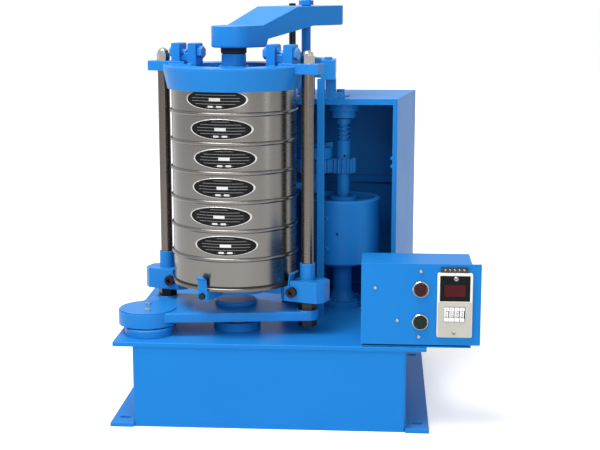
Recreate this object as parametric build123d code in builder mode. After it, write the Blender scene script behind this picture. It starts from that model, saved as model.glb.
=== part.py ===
"""Top-tapping sieve shaker, in millimetres.

Z is up and Z = 0 is the floor. The origin is the middle of the four floor slots.
The front is -Y and the control box is at +X.
"""
import os
from math import acos, atan2, cos, degrees, hypot, pi, radians, sin, sqrt, tan

from build123d import *

os.makedirs("parts", exist_ok=True)

# Clearances
run_gap = 0.05
free_gap = 0.3
slide_gap = 0.4

# Base and floor rails
base_w = 438.0
base_d = 446.0
base_h = 134.0
base_wall = 5.0
foot_w = 38.0
foot_len = 454.0
foot_t = 6.0
slot_len = 18.0
slot_w = 11.0
slot_span_y = 392.0
bed_w = 502.0
bed_d = 450.0
bed_t = 7.0
bed_top = base_h + bed_t
slot_span_x = base_w + foot_w

# Stack axis, crank throw and the line through the two posts
stack_x = -65.0
stack_y = -102.0
crank_throw = 12.5
crank_phase = 105.0
post_reach = 130.0
post_turn = -19.0
idler_pin_x = -204.5
idler_pin_y = -156.0

# Bearing bosses and cranks
boss_r = 39.0
boss_h = 14.0
boss_recess_r = 31.0
boss_floor = 6.0
spigot_r = 20.0
main_spigot = 30.0
idler_spigot = bed_t
crank_shaft_r = 12.0
bush_wall = 4.0
web_r = 28.0
web_h = 7.5
pin_r = 10.0
pin_h = 20.0
pulley_r = 42.0
pulley_h = 16.0
pulley_z = 66.0
groove_depth = 7.0
groove_w = 9.0
weight_r = 62.0
weight_h = 14.0

# Swing plate
swing_gap = 1.0
swing_hub_h = 23.0
swing_t = 15.0
idler_disc_r = 48.0
main_hub_r = 38.0
post_boss_r = 18.0
cover_t = 2.0
cap_r = 35.0
cap_h = 6.0

# Posts and their nuts
post_r = 10.0
stud_r = 6.0
foot_nut_h = 12.0
washer_t = 3.0
washer_r = 16.0
lock_nut_h = 11.0
lock_nut_flats = 27.0

# Tray
block_h = 34.0
block_w = 44.0
block_out = 34.0
block_in = 42.0
block_corner = 10.0
collar_h = 28.0
collar_wall = 2.5
tray_hub_r = 60.0
arm_t = 16.0
tray_r = 104.0
tray_t = 5.0
mat_t = 3.0
mat_r = 103.0
clip_w = 16.0
clip_t = 3.0
foot_clips = (-113.0, 80.0)
rim_clips = (-26.0,)

# Sieves, pan and lid
sieve_pitch = 46.3
bead_r = 105.0
bead_half = 3.5
shell_r = 102.0
shell_t = 1.2
skirt_drop = 9.0
mesh_t = 0.5
pan_depth = 43.5
sieve_count = 6
lid_h = 8.4
lid_boss_r = 24.0
lid_boss_h = 13.0
plug_r = 20.0
plug_h = 19.0

# Press ring
ring_top_r = 115.0
ring_foot_r = 108.0
ring_drop = 14.0
ring_top_t = 14.0
ring_mouth_r = 70.0
ear_reach = 152.0
ear_w = 28.0
ear_t = 16.0
ear_rise = 4.0
tower_w = 26.0
tower_h = 30.0
tower_t = 15.0
tower_in = 63.0
tower_out = 93.0
ring_bolt_r = 5.0
hex_flats = 17.0
acorn_flats = 19.0

# Hammer arm
hammer_r = 36.0
hammer_h = 34.0
pad_r = 21.0
pad_h = 9.6
rod_x = 42.5
rod_y = 60.0
rod_r = 8.0
guide_x = 17.0
guide_y = 82.0
guide_r = 6.0
arm_boss_r = 20.0
arm_w = 40.0
arm_tail_x = 90.0
arm_tail_y = 66.0
arm_tail_r = 16.0
arm_rise = 32.0
tap_lift = 8.0

# Cabinet, pillar and tap bracket
cab_left = 4.0
cab_right = 202.5
cab_splay = 35.0
cab_front = 0.0
cab_depth = 215.0
cab_top = 513.0
cab_t = 2.5
cab_lip = 10.0
pillar_x = 67.0
pillar_w = 12.0
pillar_front = -36.0
pillar_d = 28.0
bracket_z = 548.0
bracket_h = 33.0
bracket_w = 24.0
rod_boss_r = 16.0
guide_boss_r = 12.0
riser_w = 18.0

# Drive shaft, gears and motor
drive_x = 108.5
drive_y = 60.0
journal_r = 9.0
drive_r = 12.0
core_r = 10.0
gear_module = 2.5
pinion_teeth = 16
cam_teeth = 24
gear_z = 379.0
gear_h = 25.0
backlash = 0.3
sleeve_r = 12.8
sleeve_h = 32.0
spring_turns = 3.5
spring_wire = 2.4
top_boss_r = 27.5
top_boss_h = 34.0
motor_r = 66.0
motor_z = 223.0
motor_h = 113.0
neck_r = 17.0
cam_r = 31.0
cam_base_h = 20.0
cam_shaft_r = 8.0
shelf_z = 352.0
shelf_t = 10.0

# Control box
box_x = 147.0
box_w = 173.0
box_d = 88.0
box_h = 133.0
box_t = 2.0
panel_w = 187.0
panel_h = 130.0
panel_t = 3.0
panel_fold = 11.0
panel_lift = 5.0
button_x = 240.0
red_z = 235.5
green_z = 183.0
bezel_r = 13.0
button_r = 9.6
button_out = 5.0
button_travel = 3.0
timer_x = 293.0
timer_z = 211.5
timer_w = 55.0
timer_h = 103.0
timer_out = 6.0
window_h = 41.0
wheel_count = 4
wheel_pitch = 8.1
wheel_w = 5.2
wheel_r = 9.0
axle_r = 1.2
key_low = 6.0
key_high = 11.0
key_depth = 3.8
key_reach = 11.0
key_web = 1.0
key_w = 7.2
wheel_z = 197.4

# Derived places
post_dir = (cos(radians(post_turn)), sin(radians(post_turn)))
throw_x = crank_throw * cos(radians(crank_phase))
throw_y = crank_throw * sin(radians(crank_phase))
main_x = stack_x - throw_x
main_y = stack_y - throw_y
idler_x = idler_pin_x - throw_x
idler_y = idler_pin_y - throw_y
cranks_at = ((main_x, main_y, main_spigot), (idler_x, idler_y, idler_spigot))
boss_top = bed_top + boss_h
web_z = bed_top + boss_floor + 1.5
swing_low = boss_top + swing_gap + 1.0
swing_top = swing_low + swing_hub_h
block_z = swing_top + 1.0 + washer_t + lock_nut_h + 1.0
tray_z = block_z + 25.0
pan_z = tray_z + tray_t + mat_t
pan_bead_z = pan_z + pan_depth
stack_top = pan_bead_z + sieve_count * sieve_pitch + bead_half
ring_seat = stack_top + lid_h
ring_top = ring_seat + ring_top_t
ear_top = ring_top + ear_rise
ear_low = ear_top - ear_t
plug_top = ring_seat + lid_boss_h + plug_h
head_low = plug_top + slide_gap + pad_h
head_top = head_low + hammer_h
arm_low = head_low + arm_rise
arm_top = head_top + arm_rise
gear_distance = gear_module * (pinion_teeth + cam_teeth) / 2
cam_x = drive_x - gear_distance
cam_y = drive_y
cam_low = gear_z + gear_h + cam_base_h
cam_high = cam_low + tap_lift
rod_foot = cam_high + 2 * free_gap
panel_y = -bed_d / 2
box_y = panel_y + panel_t
timer_front = panel_y - timer_out
panel_low = bed_top + panel_lift
panel_rivets = (
    (box_x + 22, panel_low + 91),
    (box_x + 57, panel_low + 39),
    (box_x + 93, panel_low + 118),
    (box_x + 91, panel_low + 13),
)

ring_bolt_plane = Plane(origin=(stack_x, stack_y, ear_top + tower_h / 2), x_dir=(0, 0, 1), z_dir=(*post_dir, 0))

UP = (Align.CENTER, Align.CENTER, Align.MIN)


def finish(piece, label):
    """Label a finished sub-part and write it."""
    piece.part.label = label
    export_step(piece.part, f"parts/{label}.step")


def on_posts(reach, across=0.0):
    """A point on the line through the posts, seen from above."""
    return (
        stack_x + reach * post_dir[0] - across * post_dir[1],
        stack_y + reach * post_dir[1] + across * post_dir[0],
    )


def post_plane(height):
    """A level plane on the stack axis whose X runs along the line of the posts."""
    return Plane(origin=(stack_x, stack_y, height), x_dir=(*post_dir, 0), z_dir=(0, 0, 1))


def base_parts():
    """Welded box, floor rails and bed plate."""
    with BuildPart() as base_frame:
        with BuildSketch():
            RectangleRounded(base_w, base_d, 4)
            RectangleRounded(base_w - 2 * base_wall, base_d - 2 * base_wall, 1, mode=Mode.SUBTRACT)
        extrude(amount=base_h)
        with BuildSketch():
            with GridLocations(slot_span_x, 1, 2, 1):
                Rectangle(foot_w, foot_len)
            with GridLocations(slot_span_x, slot_span_y, 2, 2):
                SlotOverall(slot_len, slot_w, mode=Mode.SUBTRACT)
        extrude(amount=foot_t)
    finish(base_frame, "base_frame")

    with BuildPart() as bed_plate:
        with BuildSketch(Plane.XY.offset(base_h)):
            RectangleRounded(bed_w, bed_d, 3)
            with Locations((main_x, main_y), (idler_x, idler_y)):
                Circle(spigot_r + free_gap, mode=Mode.SUBTRACT)
            with Locations((drive_x, drive_y)):
                Circle(core_r + 2, mode=Mode.SUBTRACT)
        extrude(amount=bed_t)
        chamfer(bed_plate.faces().sort_by(Axis.Z)[-1].outer_wire().edges(), 0.8)
    finish(bed_plate, "bed_plate")


def bearing_parts():
    """Bearing housings of the cranks and of the drive shaft, and every plain bush of the frame."""
    with BuildPart() as bearing_housings:
        for x, y, drop in cranks_at:
            with Locations((x, y, bed_top)):
                Cylinder(boss_r, boss_h, align=UP)
            with Locations((x, y, bed_top - drop)):
                Cylinder(spigot_r, drop, align=UP)
        chamfer(bearing_housings.edges().filter_by(GeomType.CIRCLE).group_by(Axis.Z)[-1], 1.5)
        for x, y, drop in cranks_at:
            with Locations((x, y, bed_top + boss_floor)):
                Cylinder(boss_recess_r, boss_h, align=UP, mode=Mode.SUBTRACT)
            with Locations((x, y, bed_top - drop)):
                Cylinder(crank_shaft_r + bush_wall, drop + boss_floor, align=UP, mode=Mode.SUBTRACT)
        with Locations((drive_x, drive_y, cab_top - cab_t - top_boss_h)):
            Cylinder(top_boss_r - 5, top_boss_h, align=UP)
        with Locations((drive_x, drive_y, cab_top - cab_t - 22)):
            Cylinder(top_boss_r, 22, align=UP)
        with Locations((drive_x, drive_y, cab_top - cab_t - top_boss_h)):
            Cylinder(journal_r + bush_wall, top_boss_h, align=UP, mode=Mode.SUBTRACT)
    finish(bearing_housings, "bearing_housings")

    bushes = (
        (main_x, main_y, bed_top - main_spigot, crank_shaft_r, bush_wall, main_spigot + boss_floor),
        (idler_x, idler_y, bed_top - idler_spigot, crank_shaft_r, bush_wall, idler_spigot + boss_floor),
        (drive_x, drive_y, cab_top - cab_t - top_boss_h, journal_r, bush_wall, top_boss_h),
        (cam_x, cam_y, shelf_z - 8, cam_shaft_r, bush_wall, shelf_t + 16),
        (rod_x, rod_y, cab_top + 2, rod_r, 3, bracket_z + bracket_h - cab_top - 2),
        (guide_x, guide_y, bracket_z, guide_r, 3, bracket_h),
    )
    with BuildPart() as shaft_bushes:
        for x, y, z, shaft_r, wall, height in bushes:
            with BuildSketch(Plane.XY.offset(z)):
                with Locations((x, y)):
                    Circle(shaft_r + wall)
                    Circle(shaft_r + run_gap, mode=Mode.SUBTRACT)
            extrude(amount=height)
    finish(shaft_bushes, "shaft_bushes")


def crank(x, y, shaft_low):
    """Shaft, round web and offset pin of one crank."""
    with BuildPart() as piece:
        with Locations((x, y, shaft_low)):
            Cylinder(crank_shaft_r, web_z - shaft_low, align=UP)
        with Locations((x, y, web_z)):
            Cylinder(web_r, web_h, align=UP)
        with Locations((x + throw_x, y + throw_y, web_z + web_h)):
            Cylinder(pin_r, pin_h, align=UP)
        chamfer(piece.edges().filter_by(GeomType.CIRCLE).group_by(Axis.Z)[-1], 1)
    return piece


def pulley(x, y, bore_r):
    """Belt pulley with one groove."""
    with BuildPart() as piece:
        with Locations((x, y, pulley_z)):
            Cylinder(pulley_r, pulley_h, align=UP)
            Cylinder(bore_r, pulley_h, align=UP, mode=Mode.SUBTRACT)
        with BuildSketch(Plane.XY.offset(pulley_z + (pulley_h - groove_w) / 2)):
            with Locations((x, y)):
                Circle(pulley_r + 1)
                Circle(pulley_r - groove_depth, mode=Mode.SUBTRACT)
        extrude(amount=groove_w, mode=Mode.SUBTRACT)
    return piece


def crank_parts():
    """Main crank with its balance weight, idler crank, both pulleys and the belt."""
    with BuildPart() as main_crank:
        add(crank(main_x, main_y, pulley_z).part)
        with BuildSketch(Plane.XY.offset(bed_top - main_spigot - 2 - weight_h)):
            with Locations((main_x, main_y)):
                Circle(weight_r)
            with Locations(Location((main_x, main_y), crank_phase)):
                Rectangle(weight_r, 2 * weight_r, align=(Align.MIN, Align.CENTER), mode=Mode.SUBTRACT)
            with Locations((main_x, main_y)):
                Circle(crank_shaft_r + 9)
        extrude(amount=weight_h)
    finish(main_crank, "main_crank")
    idler_crank = crank(idler_x, idler_y, bed_top - idler_spigot - 4)
    finish(idler_crank, "idler_crank")

    crank_pulley = pulley(main_x, main_y, crank_shaft_r)
    finish(crank_pulley, "crank_pulley")
    drive_pulley = pulley(drive_x, drive_y, core_r)
    finish(drive_pulley, "drive_pulley")

    belt_in = pulley_r - groove_depth + free_gap
    belt_out = pulley_r - 1
    span = hypot(drive_x - main_x, drive_y - main_y)
    turn = degrees(atan2(drive_y - main_y, drive_x - main_x))
    middle = ((drive_x + main_x) / 2, (drive_y + main_y) / 2)
    belt_h = groove_w - 2 * free_gap
    with BuildPart() as belt:
        with BuildSketch(Plane.XY.offset(pulley_z + (pulley_h - belt_h) / 2)):
            with Locations(Location(middle, turn)):
                SlotCenterToCenter(span, 2 * belt_out)
                SlotCenterToCenter(span, 2 * belt_in, mode=Mode.SUBTRACT)
        extrude(amount=belt_h)
    finish(belt, "belt")


def swing_parts():
    """Cast plate that circles on the two crank pins, with its covers."""
    posts_at = (on_posts(post_reach), on_posts(-post_reach))
    pins_at = ((stack_x, stack_y), (idler_pin_x, idler_pin_y))
    with BuildPart() as swing_plate:
        with BuildSketch(Plane.XY.offset(swing_top - swing_t)):
            with BuildLine():
                for x, y in posts_at:
                    CenterArc((x, y), post_boss_r, 0, 360)
                CenterArc(pins_at[0], main_hub_r, 0, 360)
                CenterArc(pins_at[1], idler_disc_r - 10, 0, 360)
            make_hull()
        extrude(amount=swing_t)
        fillet(swing_plate.faces().sort_by(Axis.Z)[-1].edges(), 2)
        for (x, y), hub_r in zip(pins_at, (main_hub_r, idler_disc_r)):
            with Locations((x, y, swing_low)):
                Cylinder(hub_r, swing_hub_h, align=UP)
                Cylinder(pin_r + run_gap, pin_h + 1, align=UP, mode=Mode.SUBTRACT)
        for x, y in posts_at:
            with Locations((x, y, swing_top - swing_t)):
                Cylinder(post_boss_r, swing_t + 1, align=UP)
                Cylinder(post_r, swing_t + 1, align=UP, mode=Mode.SUBTRACT)
    finish(swing_plate, "swing_plate")

    with BuildPart() as swing_covers:
        with Locations((idler_pin_x, idler_pin_y, swing_top)):
            Cylinder(idler_disc_r - 2, cover_t, align=UP)
        with Locations((stack_x, stack_y, swing_top)):
            Cylinder(cap_r, cap_h, align=UP)
        chamfer(swing_covers.edges().filter_by(GeomType.CIRCLE).group_by(Axis.Z)[-1], 1.5)
        with Locations((idler_pin_x - 3, idler_pin_y + 20), (idler_pin_x + 3, idler_pin_y - 20)):
            Hole(2.5)
    finish(swing_covers, "swing_covers")


def hexagon(flats):
    """Corner radius of a hexagon from its width over flats."""
    return flats / 2 / cos(pi / 6)


def post_parts():
    """Ground posts with a stud at the top, and their washers and nuts."""
    with BuildPart() as posts:
        with BuildSketch(Plane.XY.offset(swing_top - swing_t - foot_nut_h)):
            with Locations(on_posts(post_reach), on_posts(-post_reach)):
                Circle(post_r)
        extrude(amount=ear_low - swing_top + swing_t + foot_nut_h)
        with BuildSketch(Plane.XY.offset(ear_low)):
            with Locations(on_posts(post_reach), on_posts(-post_reach)):
                Circle(stud_r)
        extrude(amount=ear_t + washer_t + 14)
    finish(posts, "posts")

    with BuildPart() as post_nuts:
        for low, height in ((swing_top - swing_t - foot_nut_h, foot_nut_h), (swing_top + 1 + washer_t, lock_nut_h)):
            with BuildSketch(Plane.XY.offset(low)):
                with Locations(on_posts(post_reach), on_posts(-post_reach)):
                    RegularPolygon(hexagon(lock_nut_flats), 6)
                    Circle(post_r, mode=Mode.SUBTRACT)
            extrude(amount=height)
        with BuildSketch(Plane.XY.offset(swing_top + 1)):
            with Locations(on_posts(post_reach), on_posts(-post_reach)):
                Circle(washer_r)
                Circle(post_r, mode=Mode.SUBTRACT)
        extrude(amount=washer_t)
    finish(post_nuts, "post_nuts")

    nut_low = ear_top + 2
    nut_h = 11.0
    dome_r = acorn_flats / 2 - 0.5
    with BuildPart() as acorn_nuts:
        with BuildSketch(Plane.XY.offset(ear_top)):
            with Locations(on_posts(post_reach), on_posts(-post_reach)):
                Circle(acorn_flats / 2 + 1.5)
        extrude(amount=2)
        with BuildSketch(Plane.XY.offset(nut_low)):
            with Locations(on_posts(post_reach), on_posts(-post_reach)):
                RegularPolygon(hexagon(acorn_flats), 6)
        extrude(amount=nut_h)
        for x, y in (on_posts(post_reach), on_posts(-post_reach)):
            with Locations((x, y, nut_low + nut_h)):
                Cylinder(dome_r, 4, align=UP)
            with Locations((x, y, nut_low + nut_h + 4)):
                Sphere(dome_r, arc_size1=0)
        with BuildSketch(Plane.XY.offset(ear_top)):
            with Locations(on_posts(post_reach), on_posts(-post_reach)):
                Circle(stud_r)
        extrude(amount=washer_t + 14, mode=Mode.SUBTRACT)
    finish(acorn_nuts, "acorn_nuts")


def tray_parts():
    """Tray beam clamped on the posts, tray plate, mat and pan clips."""
    with BuildPart() as tray_beam:
        for side in (1, -1):
            middle = side * (post_reach + (block_out - block_in) / 2)
            with BuildSketch(post_plane(block_z)):
                with Locations((middle, 0)):
                    Rectangle(block_in + block_out, block_w)
            extrude(amount=block_h)
        chamfer(tray_beam.edges().filter_by(Axis.Z), block_corner)
        with BuildSketch(post_plane(tray_z - arm_t)):
            Rectangle(2 * (post_reach - block_in) + 2, block_w - 12)
            Circle(tray_hub_r)
        extrude(amount=arm_t)
        with BuildSketch(Plane.XY.offset(tray_z - arm_t)):
            for angle in foot_clips:
                with Locations(Location((stack_x, stack_y), angle)):
                    Rectangle(tray_r + 1, clip_w + 2, align=(Align.MIN, Align.CENTER))
        extrude(amount=arm_t)
        with BuildSketch(post_plane(tray_z)):
            Circle(tray_r + clip_t + 3)
        extrude(amount=block_h, mode=Mode.SUBTRACT)
        with BuildSketch(post_plane(block_z + block_h)):
            with Locations((post_reach, 0), (-post_reach, 0)):
                Circle(post_r + collar_wall)
        extrude(amount=collar_h)
        with BuildSketch(post_plane(swing_top)):
            with Locations((post_reach, 0), (-post_reach, 0)):
                Circle(post_r)
        extrude(amount=200, mode=Mode.SUBTRACT)
        with BuildSketch(post_plane(tray_z)):
            with Locations((post_reach + block_out / 2, 0), (-post_reach - block_out / 2, 0)):
                Rectangle(block_out + 1, 3)
        extrude(amount=block_h, mode=Mode.SUBTRACT)
    finish(tray_beam, "tray_beam")

    with BuildPart() as tray_plate:
        with BuildSketch(post_plane(tray_z)):
            Circle(tray_r)
            with PolarLocations(tray_r - 22, 6):
                Circle(4, mode=Mode.SUBTRACT)
        extrude(amount=tray_t)
        chamfer(tray_plate.faces().sort_by(Axis.Z)[-1].outer_wire().edges(), 1)
    finish(tray_plate, "tray_plate")

    with BuildPart() as rubber_mat:
        with BuildSketch(post_plane(tray_z + tray_t)):
            Circle(mat_r)
        extrude(amount=mat_t)
    finish(rubber_mat, "rubber_mat")

    reach = tray_r + 1
    with BuildPart() as pan_clips:
        for angle in foot_clips + rim_clips:
            side_plane = Plane(
                origin=(stack_x, stack_y, tray_z),
                x_dir=(cos(radians(angle)), sin(radians(angle)), 0),
                z_dir=(sin(radians(angle)), -cos(radians(angle)), 0),
            )
            with BuildSketch(side_plane):
                with BuildLine():
                    Polyline((reach, 0), (reach + clip_t, 0), (reach + clip_t + 1, 17))
                    RadiusArc((reach + clip_t + 1, 17), (reach + clip_t + 9, 22), 9)
                    Polyline(
                        (reach + clip_t + 9, 22),
                        (reach + clip_t + 8, 22 + clip_t),
                        (reach + 3, 20),
                        (reach, 0),
                    )
                make_face()
                if angle in foot_clips:
                    with Locations((reach, -arm_t)):
                        Rectangle(clip_t, arm_t, align=(Align.MIN, Align.MIN))
            extrude(amount=clip_w / 2, both=True)
    finish(pan_clips, "pan_clips")


def round_shell(label, low, bead_z, floor_t, skirt):
    """One round shell with a rolled bead, a floor or a mesh, and a nesting skirt."""
    inner_r = shell_r - shell_t
    nest_r = inner_r - 0.7
    with BuildPart() as shell:
        with BuildSketch(Plane.XZ) as half:
            with BuildLine():
                if skirt:
                    Polyline(
                        (0, low),
                        (nest_r - shell_t, low),
                        (nest_r - shell_t, low - skirt_drop),
                        (nest_r, low - skirt_drop),
                        (nest_r, low),
                        (shell_r, low),
                        (shell_r, bead_z - bead_half),
                    )
                else:
                    Polyline((0, low), (shell_r, low), (shell_r, bead_z - bead_half))
                Line((shell_r, bead_z - bead_half), (bead_r - bead_half, bead_z - bead_half))
                ThreePointArc(
                    (bead_r - bead_half, bead_z - bead_half),
                    (bead_r, bead_z),
                    (bead_r - bead_half, bead_z + bead_half),
                )
                Polyline(
                    (bead_r - bead_half, bead_z + bead_half),
                    (inner_r, bead_z + bead_half),
                    (inner_r, low + floor_t),
                    (0, low + floor_t),
                    (0, low),
                )
            make_face()
        revolve(axis=Axis.Z)
    shell.part.label = label
    shell.part.position = (stack_x, stack_y, 0)
    export_step(shell.part, f"parts/{label}.step")


def stack_parts():
    """Pan, sieves, lid and tap plug."""
    round_shell("pan", pan_z, pan_bead_z, 2.0, False)
    for number in range(1, sieve_count + 1):
        bead_z = pan_bead_z + number * sieve_pitch
        low = bead_z - sieve_pitch + bead_half
        round_shell(f"sieve_{number}", low, bead_z, mesh_t, True)

    lid_r = bead_r - 1
    nest_r = shell_r - shell_t - 0.7
    with BuildPart() as lid:
        with Locations((stack_x, stack_y, stack_top)):
            Cylinder(lid_r, lid_h, align=UP)
        with Locations((stack_x, stack_y, stack_top - skirt_drop)):
            Cylinder(nest_r, skirt_drop, align=UP)
            Cylinder(nest_r - 2, skirt_drop, align=UP, mode=Mode.SUBTRACT)
        with Locations((stack_x, stack_y, ring_seat)):
            Cylinder(lid_boss_r, lid_boss_h, align=UP)
        fillet(lid.faces().sort_by(Axis.Z)[-1].edges(), 1.5)
    finish(lid, "lid")

    with BuildPart() as tap_plug:
        with Locations((stack_x, stack_y, ring_seat + lid_boss_h)):
            Cylinder(plug_r, plug_h, align=UP)
        chamfer(tap_plug.edges().filter_by(GeomType.CIRCLE).group_by(Axis.Z)[-1], 1.5)
    finish(tap_plug, "tap_plug")


def ring_parts():
    """Conical press ring with its ears and clamp towers."""
    foot_z = ring_seat - ring_drop - 9
    cavity_r = bead_r + 0.6
    with BuildPart() as press_ring:
        with BuildSketch(Plane(origin=(stack_x, stack_y, 0), x_dir=(1, 0, 0), z_dir=(0, -1, 0))):
            with BuildLine():
                Polyline(
                    (cavity_r, foot_z),
                    (ring_foot_r, foot_z),
                    (ring_top_r, ring_top - 5),
                    (ring_top_r, ring_top),
                    (ring_mouth_r, ring_top),
                    (ring_mouth_r, ring_seat),
                    (cavity_r, ring_seat),
                    (cavity_r, foot_z),
                )
            make_face()
        revolve(axis=Axis(origin=(stack_x, stack_y, 0), direction=(0, 0, 1)))
        fillet(press_ring.faces().sort_by(Axis.Z)[-1].outer_wire().edges(), 1.5)
        with BuildSketch(post_plane(ear_low)):
            for side in (1, -1):
                with Locations((side * (ring_mouth_r + ear_reach + 14) / 2, 0)):
                    Rectangle(ear_reach - ring_mouth_r - 14, ear_w)
        extrude(amount=ear_t)
        side_plane = Plane(
            origin=(stack_x, stack_y, ear_top), x_dir=(*post_dir, 0), z_dir=(post_dir[1], -post_dir[0], 0)
        )
        for side in (1, -1):
            with BuildSketch(side_plane):
                for reach in (tower_in, tower_out):
                    with Locations((side * (reach + tower_t / 2), tower_h / 2 - 4)):
                        RectangleRounded(tower_t, tower_h + 8, 3)
            extrude(amount=tower_w / 2, both=True)
            with BuildSketch(side_plane):
                with BuildLine():
                    Polyline(
                        (side * (tower_in + 4), 0),
                        (side * (tower_in + 4), tower_h - 6),
                        (side * (tower_in + tower_t - 2), tower_h - 2),
                        (side * (tower_out + 4), 2),
                        (side * (tower_in + 4), 0),
                    )
                make_face()
            extrude(amount=5, both=True)
        with BuildSketch(post_plane(ear_top + tower_h + 8)):
            Circle(2 * ear_reach)
        extrude(amount=40, mode=Mode.SUBTRACT)
        with BuildSketch(post_plane(ring_seat - 40)):
            Circle(ring_foot_r - 1)
            Circle(cavity_r, mode=Mode.SUBTRACT)
        extrude(amount=1, mode=Mode.SUBTRACT)
        with BuildSketch(post_plane(foot_z)):
            Circle(cavity_r)
        extrude(amount=ring_seat - foot_z, mode=Mode.SUBTRACT)
        with BuildSketch(post_plane(ear_low)):
            with Locations((post_reach, 0), (-post_reach, 0)):
                Circle(stud_r)
        extrude(amount=ear_t, mode=Mode.SUBTRACT)
        with BuildSketch(ring_bolt_plane):
            Circle(ring_bolt_r)
        extrude(amount=ear_reach, both=True, mode=Mode.SUBTRACT)
    finish(press_ring, "press_ring")


def hammer_parts():
    """Hammer arm, rubber pad, tapping rod with its nut, and guide rod."""
    along = (rod_x - stack_x, rod_y - stack_y)
    length = hypot(*along)
    with BuildPart() as hammer_arm:
        with BuildSketch(Plane.XY.offset(head_low)):
            with BuildLine():
                CenterArc((stack_x, stack_y), arm_w / 2, 0, 360)
                CenterArc((rod_x, rod_y), arm_boss_r, 0, 360)
            make_hull()
            with Locations((stack_x, stack_y)):
                Circle(hammer_r)
            with BuildLine():
                CenterArc((rod_x, rod_y), arm_boss_r, 0, 360)
                CenterArc((arm_tail_x, arm_tail_y), arm_tail_r, 0, 360)
            make_hull()
            with BuildLine():
                CenterArc((rod_x, rod_y), arm_boss_r - 4, 0, 360)
                CenterArc((guide_x, guide_y), guide_r + 8, 0, 360)
            make_hull()
        extrude(amount=arm_top - head_low)
        side_plane = Plane(
            origin=(stack_x, stack_y, 0),
            x_dir=(along[0] / length, along[1] / length, 0),
            z_dir=(along[1] / length, -along[0] / length, 0),
        )
        with BuildSketch(side_plane):
            with BuildLine():
                Polyline(
                    (-hammer_r - 2, head_low),
                    (hammer_r, head_low),
                    (hammer_r + 5, head_low + 13),
                    (length - arm_boss_r - 22, arm_low),
                    (length + 120, arm_low),
                    (length + 120, arm_top),
                    (length - 80, arm_top - 2),
                    (hammer_r - 6, head_top + 1),
                    (-hammer_r - 2, head_top),
                    (-hammer_r - 2, head_low),
                )
            make_face()
        extrude(amount=150, both=True, mode=Mode.INTERSECT)
        fillet(hammer_arm.faces().sort_by(Axis.Z)[0].edges(), 3)
        fillet(hammer_arm.edges().filter_by(GeomType.CIRCLE).group_by(Axis.Z)[-1], 3)
        with BuildSketch(Plane.XY.offset(head_low)):
            with Locations((rod_x, rod_y)):
                Circle(rod_r)
            with Locations((guide_x, guide_y)):
                Circle(guide_r)
        extrude(amount=arm_top - head_low, mode=Mode.SUBTRACT)
    finish(hammer_arm, "hammer_arm")

    with BuildPart() as tap_pad:
        with Locations((stack_x, stack_y, head_low - pad_h)):
            Cylinder(pad_r, pad_h, align=UP)
        chamfer(tap_pad.edges().filter_by(GeomType.CIRCLE).group_by(Axis.Z)[0], 1)
    finish(tap_pad, "tap_pad")

    with BuildPart() as tapping_rod:
        with Locations((rod_x, rod_y, rod_foot)):
            Cylinder(rod_r, arm_top - rod_foot + 10, align=UP)
        fillet(tapping_rod.edges().filter_by(GeomType.CIRCLE).group_by(Axis.Z)[0], 2)
        with Locations((rod_x, rod_y, bracket_z + bracket_h)):
            Cylinder(rod_r + 4, 8, align=UP)
        with BuildSketch(Plane.XY.offset(arm_top)):
            with Locations((rod_x, rod_y)):
                RegularPolygon(hexagon(22), 6)
        extrude(amount=8)
    finish(tapping_rod, "tapping_rod")

    with BuildPart() as guide_rod:
        with Locations((guide_x, guide_y, cab_top + 3)):
            Cylinder(guide_r, arm_top - cab_top, align=UP)
        chamfer(guide_rod.edges().filter_by(GeomType.CIRCLE), 1)
    finish(guide_rod, "guide_rod")


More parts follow.
